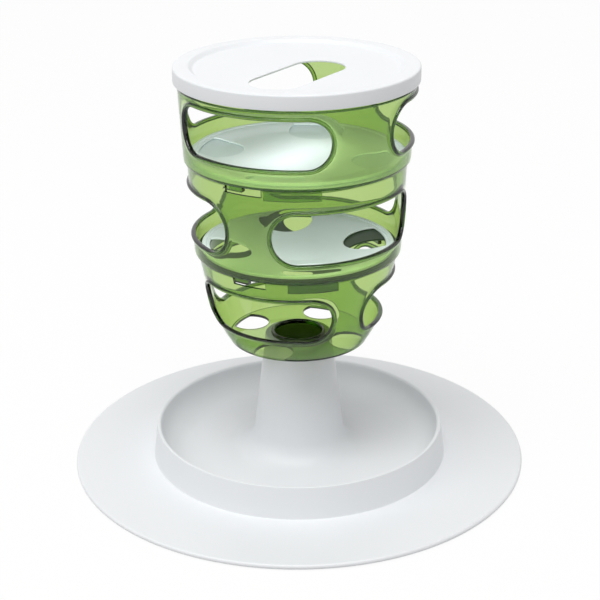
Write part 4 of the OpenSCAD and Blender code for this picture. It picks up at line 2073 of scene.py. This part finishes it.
def finishes() -> dict[Finish, bpy.types.Material]:
    """Builds every finish of the object.

    Returns:
        The material of each finish.
    """
    skin = moulded_skin()
    looks = {
        Finish.WHITE: MouldedFinish((0.828, 0.845, 0.862, 1), (0.798, 0.815, 0.832, 1), (0.34, 0.44)),
        # Disc colour: the plastic's cool white with painted green light in it.
        Finish.FLOOR: MouldedFinish((0.77, 0.86, 0.86, 1), (0.75, 0.84, 0.84, 1), (0.3, 0.4)),
        # Plate colour: the disc colour with painted shade.
        Finish.SEAT: MouldedFinish((0.66, 0.76, 0.765, 1), (0.64, 0.74, 0.745, 1), (0.3, 0.4)),
        Finish.GREEN: ClearFinish(depth_colour=(0.668, 0.802, 0.34, 1), density=1000.0,
                                  edge_tint=(0.12, 0.2, 0.12, 1), gloss=(0.015, 0.05), index=1.5,
                                  wave_depth=0.00002),
        Finish.DARK: MouldedFinish((0.075, 0.12, 0.066, 1), (0.06, 0.1, 0.054, 1), (0.42, 0.52),
                                   cloud_scale=16.0, shine=0.35),
        Finish.RUBBER: MouldedFinish((0.12, 0.123, 0.126, 1), (0.08, 0.082, 0.085, 1), (0.7, 0.85),
                                     cloud_scale=60.0, grain_scale=2200.0, grain_depth=0.00006, shine=0.3),
    }
    return {finish: look.build(finish.material, skin) for finish, look in looks.items()}


def main() -> None:
    """Builds every piece in order, then the studio."""
    logging.basicConfig(level=logging.INFO, format="%(name)s: %(message)s")
    materials = finishes()
    tray = Tray()
    bottom = BottomStage("bottom_stage", base=tray.column_top, height=72.4, foot_radius=62.03,
                         rim_radius=76.8, window=Window(low=21.4, height=34.0, span=97.5, turn=-27.5))
    middle = UpperStage("middle_stage", base=bottom.rim, height=73.0, foot_radius=79.4, rim_radius=83.0,
                        window=Window(low=16.0, height=38.5, span=93.5, turn=33.2), hanging_depth=0.68)
    top = UpperStage("top_stage", base=middle.rim, height=68.8, foot_radius=85.6, rim_radius=89.2,
                     window=Window(low=16.5, height=35.5, span=85.0, turn=-26.2), bead_rise=58.5)
    middle_joint = StageJoint(tab_turn=9)
    top_joint = StageJoint(tab_turn=-2.5)
    dress(tray.build(), "base_tray", "base", Finish.WHITE, materials)
    for number in range(1, tray.feet + 1):
        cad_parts[f"foot_pad_{number}"].material_slots[0].material = materials[Finish.RUBBER]
        LOG.info("foot_pad_%d keeps its own shape", number)
    dress(bottom.build(middle_joint), "bottom_stage", "bottom_stage", Finish.GREEN, materials)
    dress(middle.build(middle_joint, bottom, True), "middle_stage", "middle_stage", Finish.GREEN, materials)
    dress(top.build(top_joint, middle, False), "top_stage", "top_stage", Finish.GREEN, materials)
    middle_floor = FloorSet(middle, plate_turn=80, disc_turn=20, dish_depth=6.5, dish_radius=26)
    top_floor = FloorSet(top, plate_turn=31, disc_turn=-45, dish_depth=3.0, dish_radius=63)
    # The top plate's finish has painted shade and painted green light in its colour.
    for floor, place, finish in ((middle_floor, "middle", Finish.DARK), (top_floor, "top", Finish.SEAT)):
        dress(floor.plate(), f"{place}_floor_plate", f"{place}_stage", finish, materials)
        dress(floor.disc(), f"{place}_shutter_disc", f"{place}_disc", Finish.FLOOR, materials)
    lid_gap = 0.6
    lid = Lid(seat=top.rim, radius=top.rim_radius + lid_gap + Lid.wall)
    dress(lid.build(), "lid", "lid", Finish.WHITE, materials)
    Studio().build()


if __name__ == "__main__":
    main()
